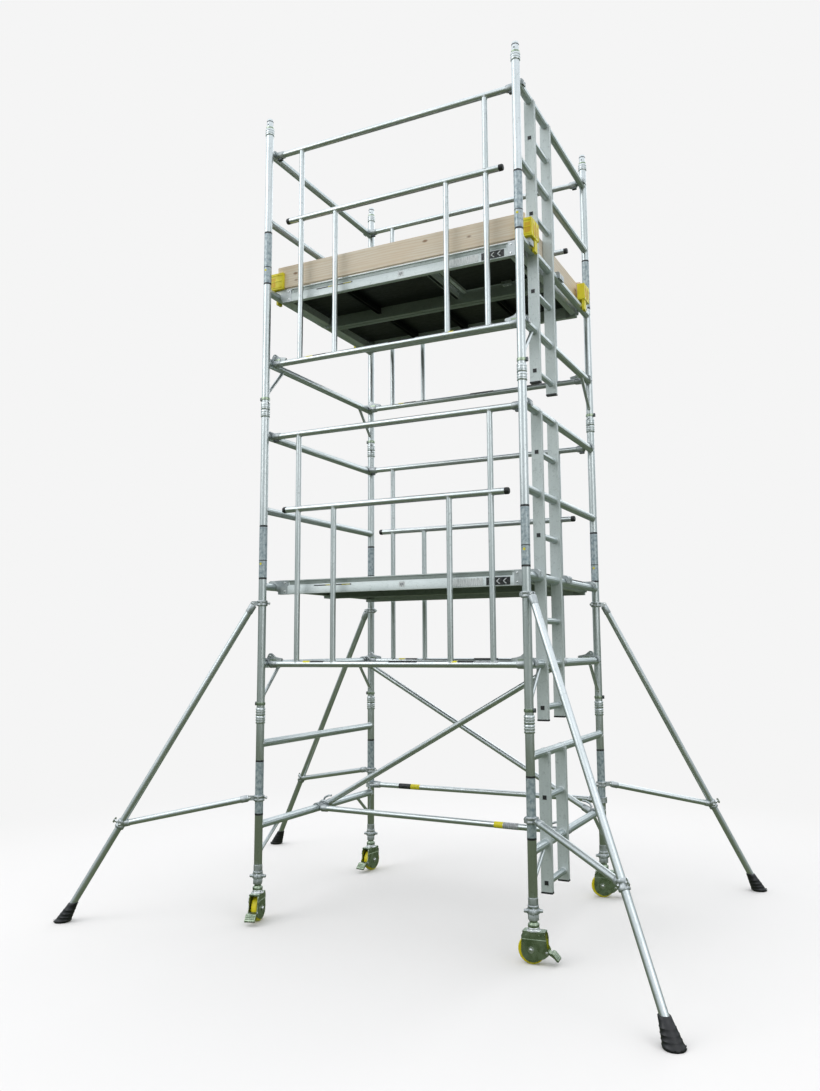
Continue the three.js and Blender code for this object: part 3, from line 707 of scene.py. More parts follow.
def standard_brace(node):
    shape = Shape()
    z = middle(node, 2)
    a, b = bay(-HALF_LENGTH, HALF_WIDTH, z), bay(HALF_LENGTH, HALF_WIDTH, z)
    shape.tube(a + X * 0.031, b - X * 0.031, BRACE_R)
    for end, inward in ((a, X), (b, -X)):
        claw(shape, end, Z, -Y, inward)
        shape.sweep([end + inward * u - Y * w for u, w in ((0.012, 0.034),
            (0.03, 0.05), (0.06, 0.048), (0.09, 0.036))],
                    0.007, "cast", sides=10)
    band(shape, a, b, 0.25, 0.1, BRACE_R, "black_film")
    band(shape, a, b, 0.35, 0.075, BRACE_R, "yellow_film")
    piece(node + "_look", shape, "tower", "mill_aluminium", node)


# ---- decks, trapdoors and toe boards ----

DECK = {"inner": 0.004, "outer": 0.599, "end": 0.865, "beam": 0.034, "below": 0.048}
HATCH_X = (0.215, 0.812)


def deck_beam(shape, y, outward, z, end, finish):
    """One side extrusion: a lip, a recessed web with a dark strip of painted shade, and a flat lower face."""
    depth, up = DECK["beam"], DECK_ABOVE
    down = -DECK["below"]
    face = [(0, down), (depth, down), (depth, 0.006),
            (0.027, 0.012), (0.027, 0.034), (depth, 0.037), (depth, up), (0, up)]
    shape.slab([(outward * u, w) for u, w in face], Vector((CENTRE.x - end, y, z)), Y, Z, 2 * end, finish)
    # painted shade: a thin dark strip laid in the recessed web stands for the shade in the recess
    web = y + outward * 0.0275
    shape.block((CENTRE.x - end + 0.09, web, z + 0.0135),
                (CENTRE.x + end - 0.09, web + outward * 0.0004, z + 0.033), "beam_shade", along=0)


def deck_hook(shape, y, z, sx):
    """Cast end hook that sits on the rung."""
    inner = 0.0266
    reach = HALF_LENGTH + 0.037
    outline = [(DECK["end"] - 0.012, -0.03), (HALF_LENGTH - 0.03, -0.03)]
    outline += arc(inner, 190, -8, 18, (HALF_LENGTH, 0))
    outline += [(reach, -0.006), (reach, 0.024),
                *arc(0.018, 0, 90, 5, (reach - 0.018, 0.0245)), (DECK["end"] - 0.012, 0.0425)]
    shape.slab([(sx * u, w) for u, w in outline], Vector((CENTRE.x, y + 0.02, z)), X, Z, 0.04, "cast")


def deck_panels(shape, face, z, left, right):
    """Generic printed panels on the deck's outer face; left and right are the beam's ends."""
    def patch(x0, x1, z0, z1, finish, out=0.0009):
        shape.block((x0, face - out, z + z0), (x1, face + 0.001, z + z1), finish, along=0)

    patch(left + 0.19, left + 0.47, -0.002, 0.004, "black_film")
    patch(left + 0.28, left + 0.33, -0.001, 0.003, "yellow_film", 0.0014)
    patch(left + 0.4, left + 0.46, -0.001, 0.003, "yellow_film", 0.0014)
    middle_x = (left + right) / 2 + 0.05
    patch(middle_x - 0.02, middle_x + 0.02, -0.03, 0.002, "paper")
    patch(middle_x - 0.012, middle_x + 0.012, -0.022, -0.006, "grey_film", 0.0014)
    patch(right - 0.42, right - 0.19, -0.04, 0.003, "paper")
    patch(right - 0.17, right - 0.02, -0.042, 0.004, "black_film")
    for i in range(3):
        tip = right - 0.15 + i * 0.042
        chevron = [(0.026, 0.016), (0.017, 0.016), (0, 0), (0.017, -0.016), (0.026, -0.016), (0.009, 0)]
        shape.slab(chevron, Vector((tip, face - 0.0008, z - 0.019)), X, Z, 0.0012, "paper")


def deck_end(shape, sx, sy, z, low_y, high_y):
    """One end of a deck: the end beam, its hooks, and the bolted corner castings."""
    end, beam, inner, outer = DECK["end"], DECK["beam"], DECK["inner"], DECK["outer"]
    a, b = CENTRE.x + sx * (end - 0.026), CENTRE.x + sx * end
    shape.block((a, low_y, z - 0.03), (b, high_y, z + DECK_ABOVE - 0.0005), "extruded", along=1)
    shape.block((a, low_y, z - 0.03), (a - sx * 0.014, high_y, z - 0.026), "extruded", along=1)
    for y in (inner + 0.02, outer - 0.02):
        deck_hook(shape, CENTRE.y + sy * y, z, sx)
    for y in (outer - beam / 2, inner + beam / 2):
        at = Vector((CENTRE.x + sx * (end - 0.075), CENTRE.y + sy * y, 0))
        half = beam / 2 + 0.001
        shape.block((at.x, at.y - half, z - 0.0485),
                    (at.x + sx * 0.0745, at.y + half, z + 0.0435), "cast", along=0)
        for w in (-0.03, 0.025):
            outward = Y * (sy if y > 0.3 else -sy)
            shape.bolt(at + X * sx * 0.02 + outward * half + Z * (z + w), outward, 0.005, 0.002, "bright", 16)


def deck(side, level):
    shape = Shape()
    node = f"deck_{side}_{level}"
    sy = -1 if side == "front" else 1
    z = DECK_TOP[level] - DECK_ABOVE
    end = DECK["end"]
    inner, outer, beam = DECK["inner"], DECK["outer"], DECK["beam"]
    deck_beam(shape, CENTRE.y + sy * (outer - beam), sy, z, end, "extruded")
    # painted shade: the inner beam, facing in under the deck, is drawn whole in the dark copy
    deck_beam(shape, CENTRE.y + sy * (inner + beam), -sy, z, end, "beam_shade")
    top = DECK_TOP[level]
    low_y, high_y = sorted((CENTRE.y + sy * (inner + beam - 0.002), CENTRE.y + sy * (outer - beam + 0.002)))
    hatch = side == "front"
    spans = [(-end, HATCH_X[0]), (HATCH_X[1], end)] if hatch else [(-end, end)]
    for x0, x1 in spans:
        a, b = CENTRE.x + x0, CENTRE.x + x1
        shape.block((a, low_y, top - 0.007), (b, high_y, top - 0.001), "ply_top", along=0)
        # painted shade: the underside layer is the black film drawn far darker than the walking face
        shape.block((a, low_y, top - 0.012), (b, high_y, top - 0.0065), "ply_film", along=0)
    for sx in (-1, 1):
        deck_end(shape, sx, sy, z, low_y, high_y)
    # painted shade: the back deck's stiffeners and the front one at -0.42 use the dark underside copy, so
    # they sink into the shade under the deck
    bars = [HATCH_X[0] - 0.022, -0.42] if hatch else [0.42, 0, -0.42]
    for x in bars:
        a = CENTRE.x + x
        metal = "extruded" if x > 0 and hatch else "ply_film"
        shape.block((a, low_y, z - 0.014), (a + 0.022, high_y, top - 0.012), metal, along=1)
        shape.block((a - 0.004, low_y, z - 0.014), (a + 0.026, high_y, z - 0.011), metal, along=1)
    if hatch:
        a = CENTRE.x + HATCH_X[1]
        shape.block((a + 0.001, low_y, z - 0.01), (a + 0.02, high_y, top - 0.012), "extruded", along=1)
        face = CENTRE.y + sy * outer
        deck_panels(shape, face, z, CENTRE.x - end + 0.09, CENTRE.x + end - 0.08)
    else:
        edge = CENTRE.y + sy * inner - sy * 0.0008
        a = CENTRE.x + end - 0.26
        for i in range(4):
            shape.block((a + i * 0.04, edge, z - 0.04), (a + i * 0.04 + 0.022, edge + sy * 0.001, z - 0.012),
                        "yellow_film" if i % 2 else "black_film", along=0)
    piece(node + "_look", shape, "tower", "deck_aluminium", node)


def trapdoor(level):
    shape = Shape()
    node = f"trapdoor_{level}"
    lo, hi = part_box(node)
    top = DECK_TOP[level]
    hinge = Vector(JOINT_AT[node + "_hinge"]["pos_m"])
    edge = 0.012
    under = top - 0.014
    shape.block((lo.x + edge, lo.y + edge, top - 0.005),
                (hi.x - edge, hi.y - edge, top - 0.001), "ply_top", along=0)
    # painted shade: the leaf's underside layer is the black film drawn far darker than its top
    shape.block((lo.x + edge, lo.y + edge, under + 0.002),
                (hi.x - edge, hi.y - edge, top - 0.0045), "ply_film", along=0)
    for y in (lo.y, hi.y - edge):
        shape.block((lo.x, y, under), (hi.x, y + edge, top), "extruded", along=0)
    for x in (lo.x, hi.x - edge):
        shape.block((x, lo.y + edge, under), (x + edge, hi.y - edge, top), "extruded", along=1)
    for x in (lo.x + 0.036, hi.x - 0.06):
        shape.block((x, lo.y + 0.026, top - 0.032),
                    (x + 0.024, hi.y - 0.008, under + 0.002), "extruded", along=1)
    latch = Vector((hi.x - 0.226, hi.y - 0.028, 0))
    shape.block((latch.x - 0.034, latch.y - 0.018, lo.z + 0.01),
                (latch.x + 0.034, latch.y + 0.018, under + 0.001), "cast")
    grip = [latch + Vector((u, 0, lo.z + w)) for u, w in ((-0.03, 0.012),
        (-0.026, 0.004), (0, 0.003), (0.026, 0.004), (0.03, 0.012))]
    shape.sweep(grip, 0.003, "bright", sides=10)
    knuckles = 3
    for i in range(knuckles):
        x = lo.x + (i + 0.5) * (hi.x - lo.x) / knuckles
        start = Vector((x - 0.03, hinge.y + 0.004, hinge.z - 0.003))
        shape.tube(start, start + X * 0.06, 0.0035, "bright", 16)
        for u in (-0.018, 0.018):
            shape.bolt(Vector((x + u, lo.y + edge / 2, top - 0.0006)), Z, 0.003, 0.0008, "bright", 12)
    piece(node + "_look", shape, node, "deck_panel", node, bevel=0.0008)


def toe_board(side):
    shape = Shape()
    node = f"toe_board_{side}"
    lo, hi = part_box(node)
    along = 0 if side in ("front", "back") else 1
    shape.block(lo, hi, "pine", along)
    piece(node + "_look", shape, "tower", "pine", node, bevel=0.0022)


def toe_clip(corner):
    """Moulded corner clip: an arm along each board, ribs, a pocket drawn as darker orange patches of painted
    shade, and the tongue behind the rung.
    """
    shape = Shape()
    node = f"toe_clip_{corner}"
    sx, sy = CORNERS[corner]
    lo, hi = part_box(node)
    board_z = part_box("toe_board_front")[0].z
    end_x = hi.x if sx > 0 else lo.x
    out_y = hi.y if sy > 0 else lo.y
    z0, z1 = board_z - 0.009, hi.z
    wall = 0.021
    face = out_y - sy * wall
    arm_x = end_x - sx * 0.108
    shape.block((arm_x, face, z0), (end_x, out_y, z1), "clip", along=2)
    block_x = end_x - sx * 0.0515
    shape.block((block_x, face + sy * 0.001, z0), (end_x, face - sy * 0.107, z1), "clip", along=2)
    for i in range(3):
        z = z0 + 0.012 + i * (z1 - z0 - 0.03) / 2
        shape.block((arm_x + sx * 0.006, out_y, z),
                    (end_x - sx * 0.004, out_y + sy * 0.003, z + 0.006), "clip", along=0)
    # painted shade: darker orange patches on the outer face and the end face stand for the shade in the
    # pocket
    shape.block((block_x + sx * 0.006, out_y - sy * 0.001, z0 + 0.022),
                (end_x - sx * 0.008, out_y + sy * 0.0012, z1 - 0.03), "clip_shade", along=2)
    shape.block((end_x - sx * 0.001, face - sy * 0.012, z0 + 0.02),
                (end_x + sx * 0.0012, face - sy * 0.095, z1 - 0.03), "clip_shade", along=2)
    for i in range(3):
        y = face - sy * (0.006 + i * 0.046)
        shape.block((end_x - sx * 0.002, y, z0 + 0.004),
                    (end_x + sx * 0.003, y - sy * 0.007, z1 - 0.006), "clip", along=2)
    tongue = end_x - sx * 0.005
    mid = CENTRE.y + sy * 0.5285
    shape.block((tongue - sx * 0.018, mid - 0.0235, lo.z), (tongue, mid + 0.0235, z0 + 0.01), "clip", along=2)
    shape.block((tongue - sx * 0.001, mid - 0.003, lo.z + 0.006),
                (tongue + sx * 0.002, mid + 0.003, z0), "clip", along=2)
    piece(node + "_look", shape, "tower", "yellow_plastic", node, bevel=0.0022)


# ---- castors, built with the stem on Z and the pedal towards +X ----

BRAKE_PIN = Vector((0.075, 0, JOINT_AT["pedal_FL_hinge"]["pos_m"][2]))


def corner_at(corner):
    sx, sy = CORNERS[corner]
    return Vector((SIDE_X["right" if sx > 0 else "left"], BACK if sy > 0 else FRONT, 0))


def heading(corner):
    """Turns a castor built towards +X to where its pedal points."""
    at = corner_at(corner)
    pivot = Vector(JOINT_AT[f"pedal_{corner}_hinge"]["pos_m"])
    toward = pivot - at
    return Matrix.Translation(at) @ Matrix.Rotation(math.atan2(toward.y, toward.x), 4, "Z")


def castor_leg(corner):
    shape = Shape()
    flange, r, pitch = 0.206, 0.022, 0.008
    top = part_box(f"adjustable_leg_{corner}")[1].z
    profile = [(0.0305, 0.187), (0.031, 0.19), (0.031, 0.203), (0.029, flange), (r, flange)]
    turns = int((0.56 - flange) / pitch)
    for i in range(turns):
        z = flange + 0.003 + i * pitch
        profile += [(r - 0.0025, z), (r - 0.0025, z + 0.0022), (r, z + 0.0036), (r, z + 0.0062)]
    profile += [(r, 0.57), (r, top - 0.002), (r - 0.002, top)]
    shape.lathe(profile, Vector((0, 0, 0)), Z, "zinc", 32)
    piece(f"adjustable_leg_{corner}_look", shape.placed(Matrix.Translation(corner_at(corner))),
          f"leg_{corner}", "zinc_steel", f"adjustable_leg_{corner}", bevel=0)


def adjuster_nut(corner):
    shape = Shape()
    low, top, sleeve = 0.222, 0.2995, 0.030
    bore = 0.0225
    body = [(bore, low + 0.03), (sleeve - 0.001, low + 0.03), (sleeve, low + 0.034), (sleeve, low + 0.056)]
    body += [(sleeve - 0.002, low + 0.058), (sleeve - 0.002, low + 0.062),
             (sleeve, low + 0.064), (sleeve, top - 0.002)]
    body += [(sleeve - 0.002, top), (bore, top)]
    shape.lathe(body, Vector((0, 0, 0)), Z, "cast", 36, caps=False)
    shape.lathe([(bore, low), (0.0305, low),
                 (0.0312, low + 0.003), (0.0312, low + 0.03), (0.0295, low + 0.033)],
                Vector((0, 0, 0)), Z, "cast", 6, caps=False)
    for i in range(4):
        out = Matrix.Rotation(math.radians(20 + 90 * i), 3, "Z") @ X
        at = Vector((0, 0, low + 0.046))
        profile = [(0.011, 0.026), (0.0095, 0.036), (0.0105, 0.046), (0.008, 0.051), (0.003, 0.0515)]
        shape.lathe(profile, at, out, "cast", 20)
        rib = [(0.026, -0.02), (0.044, -0.004), (0.044, 0.004), (0.026, 0.02)]
        shape.slab(rib, at + Z.cross(out) * 0.003, out, Z, 0.006, "cast")
    piece(f"adjuster_nut_{corner}_look", shape.placed(Matrix.Translation(corner_at(corner))),
          f"nut_{corner}", "zinc_steel", f"adjuster_nut_{corner}", bevel=0)


def castor_fork(corner):
    """Pressed cheeks with a crease, the bearing head, the axle bolt and the brake's shaft."""
    shape = Shape()
    axle = Vector((-0.01, 0, 0.075))
    inside, outside = 0.026, 0.031
    upper = [(-0.062, 0.148), *arc(0.012, 180, 90, 4, (-0.046, 0.152)),
             *arc(0.014, 90, 0, 4, (0.056, 0.15)), (0.074, 0.128), (-0.062, 0.128)]
    lower = [(-0.062, 0.13), (0.0735, 0.13), (0.074, 0.096), (0.085, 0.076), (0.086, 0.056), (0.066, 0.038)]
    lower += arc(0.0615, -50, -180, 14, (-0.003, 0.0745))
    for sy in (-1, 1):
        near = min(sy * inside, sy * outside)
        for outline, dent in ((upper, 0), (lower, 0.0014)):
            shape.slab(outline, Vector((0, near + 0.005 - (dent if sy > 0 else 0), 0)),
                       X, Z, 0.005 - dent, "zinc")
        face = sy * outside
        shape.sweep([Vector((u, face, 0.1285)) for u in (-0.058, -0.02, 0.03, 0.074)],
                    0.0022, "zinc", sides=10)
        shape.bolt(Vector((axle.x, face, axle.z)), Y * sy, 0.0095, 0.006, "bright")
        shape.lathe([(0.017, 0), (0.017, 0.002)], Vector((axle.x, face, axle.z)), Y * sy, "bright", 28)
        shape.bolt(BRAKE_PIN + Y * (face - sy * 0.001), Y * sy, 0.006, 0.002, "bright", 16)
        for x in (-0.035, 0.035):
            shape.bolt(Vector((x, face - sy * 0.001, 0.15)), Y * sy, 0.004, 0.0015, "zinc", 14)
    shape.tube(axle - Y * 0.03, axle + Y * 0.03, 0.008, "bright", 24)
    shape.tube(BRAKE_PIN - Y * 0.03, BRAKE_PIN + Y * 0.03, 0.004, "bright", 20)
    bridge = [(-0.056, -0.0305), (0.066, -0.0305), (0.066, 0.0305), (-0.056, 0.0305)]
    shape.slab(bridge, Vector((0, 0, 0.162)), X, Y, 0.008, "zinc")
    head = [(0.04, 0.168), (0.04, 0.1705), (0.033, 0.173), (0.0325, 0.177),
            (0.031, 0.178), (0.031, 0.184), (0.029, 0.1866), (0.0, 0.1866)]
    shape.lathe(head, Vector((0, 0, 0)), Z, "bright", 40, caps=False)
    shape.tube(Vector((0, 0, 0.185)), Vector((0, 0, 0.216)), 0.01, "bright", 24)
    piece(f"castor_fork_{corner}_look", shape.placed(heading(corner)), f"castor_{corner}", "zinc_steel",
          f"castor_fork_{corner}", bevel=0.0008)


def castor_wheel(corner):
    shape = Shape()
    r, w = 0.075, 0.02
    half = [(0.0082, w + 0.002), (0.017, w + 0.002), (0.0195, w - 0.001),
            (0.021, 0.011), (0.026, 0.0095), (0.05, 0.0095), (0.0545, 0.012),
            (0.0565, w - 0.001), (0.0585, w), (0.0625, w),
            (0.0632, w - 0.001), (0.0645, w - 0.001), (0.0655, w), (0.07, w),
            (0.0735, w - 0.003), (r, w - 0.008), (r, 0.004)]
    profile = [(a, -b) for a, b in half] + [(a, b) for a, b in reversed(half)]
    shape.lathe(profile, Vector((0, 0, 0)), Y, "wheel", 64, caps=False)
    for sy in (-1, 1):
        shape.lathe([(0.0082, 0), (0.0135, 0), (0.0145, 0.0012), (0.0082, 0.0012)],
                    Vector((0, sy * (w + 0.0018), 0)), Y * sy, "bright", 24, caps=False)
        for i in range(6):
            out = Matrix.Rotation(math.radians(60 * i), 3, "Y") @ X
            rib = [(0.0205, -0.002), (0.054, -0.002), (0.054, 0.002), (0.0205, 0.002)]
            shape.slab(rib, Vector((0, min(sy * 0.0085, sy * 0.0165), 0)), out, Y.cross(out), 0.008, "wheel")
    here = heading(corner) @ Matrix.Translation((-0.01, 0, 0.075))
    piece(f"castor_wheel_{corner}_look", shape.placed(here), f"wheel_{corner}", "yellow_wheel",
          f"castor_wheel_{corner}", bevel=0)


def brake_pedal(corner):
    shape = Shape()
    at = BRAKE_PIN
    shape.tube(at - Y * 0.025, at + Y * 0.025, 0.007, "zinc", 24)
    arm = [(-0.004, -0.005), (-0.002, 0.006), (0.01, 0.006),
           (0.036, -0.012), (0.034, -0.022), (0.008, -0.008)]
    shape.slab(arm, at + Y * 0.023, X, Z, 0.046, "zinc")
    tread = [(0.02, 0.002), (0.028, 0.004), (0.036, 0.0), (0.064, -0.03),
             (0.062, -0.039), (0.054, -0.037), (0.042, -0.024), (0.02, -0.008)]
    shape.slab(tread, at + Y * 0.033, X, Z, 0.066, "zinc")
    slope = Vector((0.036, 0, -0.036)).normalized()
    lift = Vector((slope.z * -1, 0, slope.x))
    for i in range(3):
        start = at + Vector((0.038, 0, -0.002)) + slope * (0.004 + i * 0.011)
        shape.tube(start - Y * 0.028 + lift * 0.001, start + Y * 0.028 + lift * 0.001, 0.0018, "zinc", 12)
    piece(f"brake_pedal_{corner}_look", shape.placed(heading(corner)), f"pedal_{corner}", "zinc_steel",
          f"brake_pedal_{corner}", bevel=0.001)


# ---- stabilisers ----

LEG_TOP = (0.060, 1.951)  # out from the standard, height
STRUT_Z = 0.740
COUPLER_Z = 1.965
SLIDER_AT = 0.7


def sole(corner):
    """Middle of the foot's sole, from the CAD node's lowest corners."""
    low = [v.co for v in frame["nodes"][f"stabiliser_foot_{corner}"].data.vertices if v.co.z < 0.002]
    xs, ys = [c.x for c in low], [c.y for c in low]
    return Vector(((min(xs) + max(xs)) / 2, (min(ys) + max(ys)) / 2, 0))


def coupler(shape, z):
    """Half-coupler round the standard: two cast shells, ears, a swing bolt and the lug."""
    h = 0.018
    shell = [(0.0264, -h), (0.032, -h), (0.034, -h + 0.003), (0.034, -0.006),
             (0.0325, -0.004), (0.0325, 0.004), (0.034, 0.006), (0.034, h - 0.003), (0.032, h), (0.0264, h)]
    at = Vector((0, 0, z))
    shape.lathe(shell, at, Z, "cast", 36, caps=False)
    shape.lathe([(0.0264, h), (0.0264, -h)], at, Z, "cast", 36, caps=False)
    for sy in (-1, 1):
        ear = [(-0.007, -0.013), (0.007, -0.013), (0.007, 0.013), (-0.007, 0.013)]
        shape.slab(ear, at + Vector((0, sy * 0.031 - (0.012 if sy < 0 else 0), 0)) + Y * 0.012,
                   X, Z, 0.012, "cast")
    shape.tube(at + Vector((-0.046, -0.014, 0)), at + Vector((-0.026, -0.014, 0)), 0.006, "bright", 16)
    shape.bolt(at + Vector((-0.04, -0.014, 0)), -X, 0.008, 0.006, "bright")
    for y in (-0.011, 0.006):
        lug = [(0.03, -h + 0.004), (LEG_TOP[0], -h + 0.004),
               *arc(0.014, -90, 90, 8, (LEG_TOP[0] + 0.001, 0)), (0.03, h - 0.004)]
        shape.slab(lug, at + Y * (y + 0.005), X, Z, 0.005, "cast")
    shape.bolt(at + Vector((LEG_TOP[0], -0.011, 0)), -Y, 0.007, 0.004, "bright")
    shape.bolt(at + Vector((LEG_TOP[0], 0.011, 0)), Y, 0.007, 0.004, "bright")


def stabiliser(corner):
    at = corner_at(corner)
    foot = sole(corner)
    reach = (foot - at).length
    turn = Matrix.Translation(at) @ Matrix.Rotation(math.atan2(foot.y - at.y, foot.x - at.x), 4, "Z")
    top, end = Vector((LEG_TOP[0], 0, LEG_TOP[1])), Vector((reach, 0, 0))
    run = (end - top).normalized()
    body = f"stabiliser_{corner}"

    leg = Shape()
    coupler(leg, COUPLER_Z)
    r = 0.021
    leg.tube(top + run * 0.004, top.lerp(end, 0.97), r, "tube", 36)
    leg.lathe([(0.0215, -0.004), (0.0235, 0.0), (0.0235, 0.05), (0.0215, 0.055)], top, run, "cast", 32)
    piece(f"stabiliser_leg_{corner}_look", leg.placed(turn),
          body, "mill_aluminium", f"stabiliser_leg_{corner}")

    boot = Shape()
    lean = (top.x - end.x) / top.z
    outline = [(0.047, 0), (0.05, 0.004), (0.05, 0.014), (0.046, 0.018),
               (0.0445, 0.03), (0.0455, 0.033), (0.0425, 0.037), (0.041, 0.05),
               (0.042, 0.053), (0.039, 0.057), (0.0365, 0.072),
               (0.0375, 0.075), (0.0345, 0.079), (0.031, 0.1), (0.029, 0.112), (0.0265, 0.114)]
    rings = []
    for radius, z in outline:
        angles = (2 * math.pi * i / 40 for i in range(40))
        rings.append([end + Vector((lean * z + radius * math.cos(a),
                                    radius * math.sin(a), z)) for a in angles])
    boot.skin(rings, "rubber")
    for i in range(10):
        a = 2 * math.pi * i / 10
        spot = end + Vector((0.0495 * math.cos(a), 0.0495 * math.sin(a), 0.009))
        boot.tube(spot, spot + Vector((math.cos(a), math.sin(a), 0)) * 0.0015, 0.004, "rubber", 10)
    piece(f"stabiliser_foot_{corner}_look", boot.placed(turn),
          body, "black_rubber", f"stabiliser_foot_{corner}", bevel=0)

    strut = Shape()
    coupler(strut, STRUT_Z)
    slider = top.lerp(end, SLIDER_AT)
    near = Vector((LEG_TOP[0], 0, STRUT_Z))
    way = (slider - near).normalized()
    strut.tube(near + way * 0.006, slider - way * 0.026, BRACE_R, "tube", 36)
    for spot, side in ((near, way), (slider, -way)):
        strut.lathe([(0.0195, 0), (0.0215, 0.004), (0.0215, 0.04), (0.0195, 0.044)],
                    spot + side * 0.012, side, "cast", 28)
    sleeve = [(0.0222, -0.026), (0.0275, -0.026), (0.029, -0.023), (0.029, -0.008),
        (0.0272, -0.006), (0.0272, 0.006), (0.029, 0.008), (0.029, 0.023), (0.0275, 0.026), (0.0222, 0.026)]
    strut.lathe(sleeve, slider, run, "cast", 36, caps=False)
    out = run.cross(Y).normalized()
    out = out if out.x > 0 else -out
    strut.lathe([(0.009, 0.027), (0.009, 0.038), (0.006, 0.04), (0.006, 0.05)], slider, out, "bright", 16)
    strut.slab([(-0.02, 0.048), (-0.014, 0.055),
                (0.014, 0.055), (0.02, 0.048), (0.014, 0.042), (-0.014, 0.042)],
               slider, run, out, 0.005, "bright")
    for sy in (-1, 1):
        strut.bolt(slider + Y * sy * 0.028, Y * sy, 0.007, 0.005, "bright")
    piece(f"stabiliser_strut_{corner}_look", strut.placed(turn),
          body, "mill_aluminium", f"stabiliser_strut_{corner}")


# ---- floor, light and camera ----

PALE = (0.913, 0.913, 0.913)
GROUND = (0.12, 0.15, 0.09)  # what polished metal sees below the horizon
SKY = (  # height from straight down to straight up, colour
    (0.0, GROUND),
    (0.47, (0.17, 0.2, 0.15)),
    (0.53, (0.33, 0.39, 0.4)),
    (0.66, (0.82, 0.88, 0.93)),
    (1.0, (1.3, 1.35, 1.42)),
)
LAMPS = (  # name, place, width, watts
    ("key", (-5.5, -7.0, 7.5), 6.0, 200),
    ("fill", (7.5, -4.5, 4.5), 5.0, 90),
    ("back", (1.5, 8.0, 7.0), 6.0, 110),
)


def floor():
    """A plain floor: pale to the camera, fading into the backdrop; metal sees grass-dark ground in it."""
    floor_mesh = bpy.data.meshes.new("floor")
    rim = [(60 * math.cos(a), 60 * math.sin(a), 0) for a in (2 * math.pi * i / 96 for i in range(96))]
    floor_mesh.from_pydata(rim, [], [list(range(96))])
    plane = bpy.data.objects.new("floor", floor_mesh)
    bpy.context.scene.collection.objects.link(plane)
    plane.location.z = -0.0005
    material = bpy.data.materials.new("pale_floor")
    material.use_nodes = True
    nodes, links = material.node_tree.nodes, material.node_tree.links
    nodes.clear()

    def add(kind, **values):
        node = nodes.new("ShaderNode" + kind)
        for key, value in values.items():
            node.inputs[key].default_value = value
        return node

    near = add("BsdfDiffuse", Color=(0.83, 0.795, 0.765, 1))
    far = add("Emission", Color=(*PALE, 1), Strength=1.0)
    seen = add("Emission", Color=(*GROUND, 1), Strength=1.0)
    place = add("TexCoord")
    length = add("VectorMath")
    length.operation = "LENGTH"
    fade = add("MapRange", **{"From Min": 2.2, "From Max": 5.5})
    fade.interpolation_type = "SMOOTHSTEP"
    path = add("LightPath")
    blend, mirror, out = add("MixShader"), add("MixShader"), add("OutputMaterial")
    links.new(place.outputs["Object"], length.inputs[0])
    links.new(length.outputs["Value"], fade.inputs["Value"])
    links.new(fade.outputs["Result"], blend.inputs[0])
    links.new(near.outputs[0], blend.inputs[1])
    links.new(far.outputs[0], blend.inputs[2])
    links.new(path.outputs["Is Camera Ray"], mirror.inputs[0])
    links.new(seen.outputs[0], mirror.inputs[1])
    links.new(blend.outputs[0], mirror.inputs[2])
    links.new(mirror.outputs[0], out.inputs["Surface"])
    floor_mesh.materials.append(material)


def sky():
    """The backdrop is pale to the camera; other rays meet a sky graded from ground to overhead."""
    world = bpy.data.worlds.new("studio")
    bpy.context.scene.world = world
    world.use_nodes = True
    nodes, links = world.node_tree.nodes, world.node_tree.links
    nodes.clear()
    place = nodes.new("ShaderNodeTexCoord")
    split = nodes.new("ShaderNodeSeparateXYZ")
    ramp = nodes.new("ShaderNodeValToRGB")
    for _ in SKY[2:]:
        ramp.color_ramp.elements.new(0.5)
    for element, (position, colour) in zip(ramp.color_ramp.elements, SKY):
        element.position = position
        element.color = (*colour, 1)
    rise = nodes.new("ShaderNodeMapRange")
    rise.inputs["From Min"].default_value = -1
    links.new(place.outputs["Generated"], split.inputs[0])
    links.new(split.outputs["Z"], rise.inputs["Value"])
    links.new(rise.outputs["Result"], ramp.inputs["Fac"])
    around = nodes.new("ShaderNodeBackground")
    plain = nodes.new("ShaderNodeBackground")
    mix = nodes.new("ShaderNodeMixShader")
    plain.inputs["Color"].default_value = (*PALE, 1)
    links.new(ramp.outputs["Color"], around.inputs["Color"])
    path = nodes.new("ShaderNodeLightPath")
    links.new(path.outputs["Is Camera Ray"], mix.inputs[0])
    links.new(around.outputs[0], mix.inputs[1])
    links.new(plain.outputs[0], mix.inputs[2])
    links.new(mix.outputs[0], nodes.new("ShaderNodeOutputWorld").inputs["Surface"])


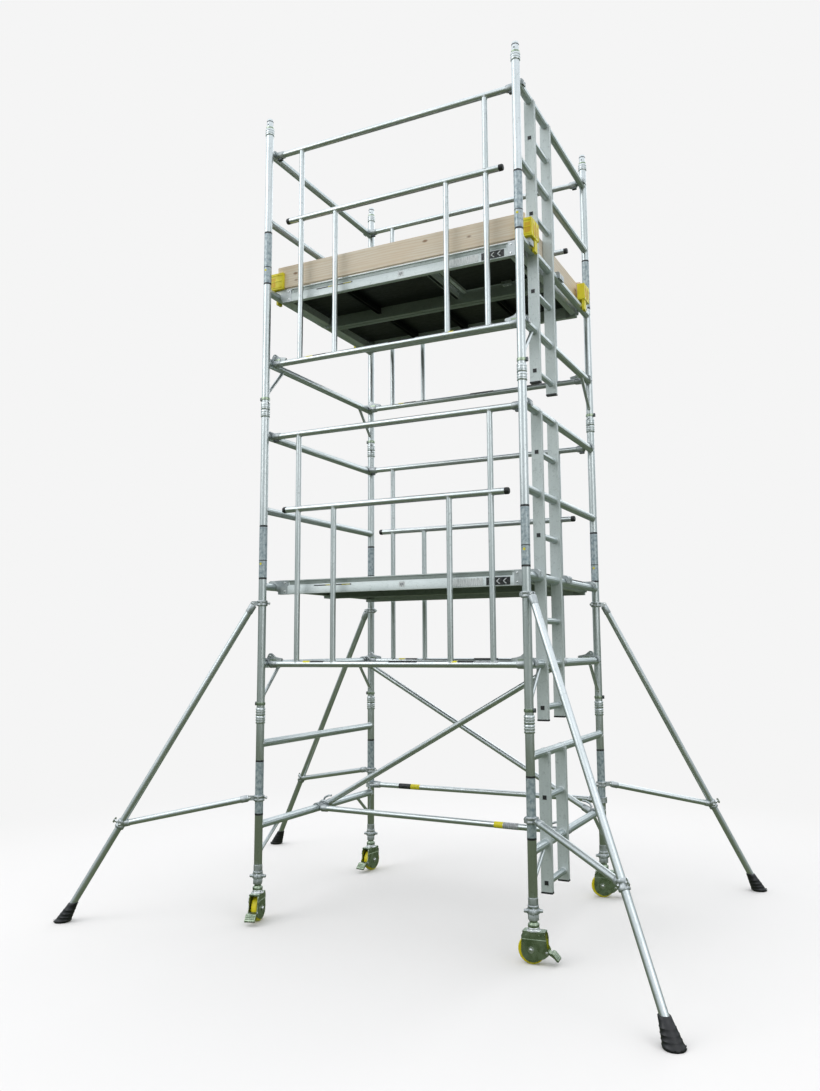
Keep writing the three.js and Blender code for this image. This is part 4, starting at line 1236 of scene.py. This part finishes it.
def lamps():
    """Large soft lamps, all turned to the middle of the tower."""
    for name, spot, size, power in LAMPS:
        light = bpy.data.lights.new(name, "AREA")
        light.size = size
        light.energy = power
        lamp = bpy.data.objects.new(name, light)
        bpy.context.scene.collection.objects.link(lamp)
        lamp.location = spot
        lamp.rotation_euler = (Vector((0, 0, 2.4)) - lamp.location).to_track_quat("-Z", "Y").to_euler()


def camera():
    """At the photograph's viewpoint: low at the front right corner, looking up a little."""
    yaw, pitch, roll = -0.4547, 0.1288, -0.0068
    forward = Vector((math.sin(yaw) * math.cos(pitch), math.cos(yaw) * math.cos(pitch), math.sin(pitch)))
    level = Vector((math.cos(yaw), -math.sin(yaw), 0))
    up = level.cross(forward)
    right = level * math.cos(roll) + up * math.sin(roll)
    up = up * math.cos(roll) - level * math.sin(roll)
    data = bpy.data.cameras.new("camera")
    data.sensor_width = 36.0
    data.lens = 29.757
    data.shift_x, data.shift_y = -0.0140, -0.0132
    data.clip_end = 200
    view = bpy.data.objects.new("camera", data)
    bpy.context.scene.collection.objects.link(view)
    matrix = Matrix((right, up, -forward)).transposed().to_4x4()
    matrix.translation = bay(2.6197, -5.5113, 1.6714)
    view.matrix_world = matrix
    bpy.context.scene.camera = view


floor()
sky()
lamps()
camera()
bpy.context.scene.view_settings.view_transform = "Standard"
for side in ("left", "right"):
    for level in RUNGS:
        end_frame(side, level)
for side in ("front", "back"):
    for level in ("lower", "upper"):
        guardrail(side, level)
        deck(side, level)
for level in ("lower", "upper"):
    trapdoor(level)
rung_brace("brace_front_horizontal", -0.03, 0, -0.122, 0,
           ((1.35, 0.06, "yellow_film"), (1.412, 0.1, "grey_film")))
rung_brace("brace_diagonal_rising", 0.02, 0, -0.122, 2, ())
rung_brace("brace_diagonal_falling", 0.6, 2, 0.51, 0, ())
standard_brace("brace_back_horizontal")
for side in ("front", "back", "left", "right"):
    toe_board(side)
for corner in CORNERS:
    toe_clip(corner)
    castor_leg(corner)
    adjuster_nut(corner)
    castor_fork(corner)
    castor_wheel(corner)
    brake_pedal(corner)
    stabiliser(corner)
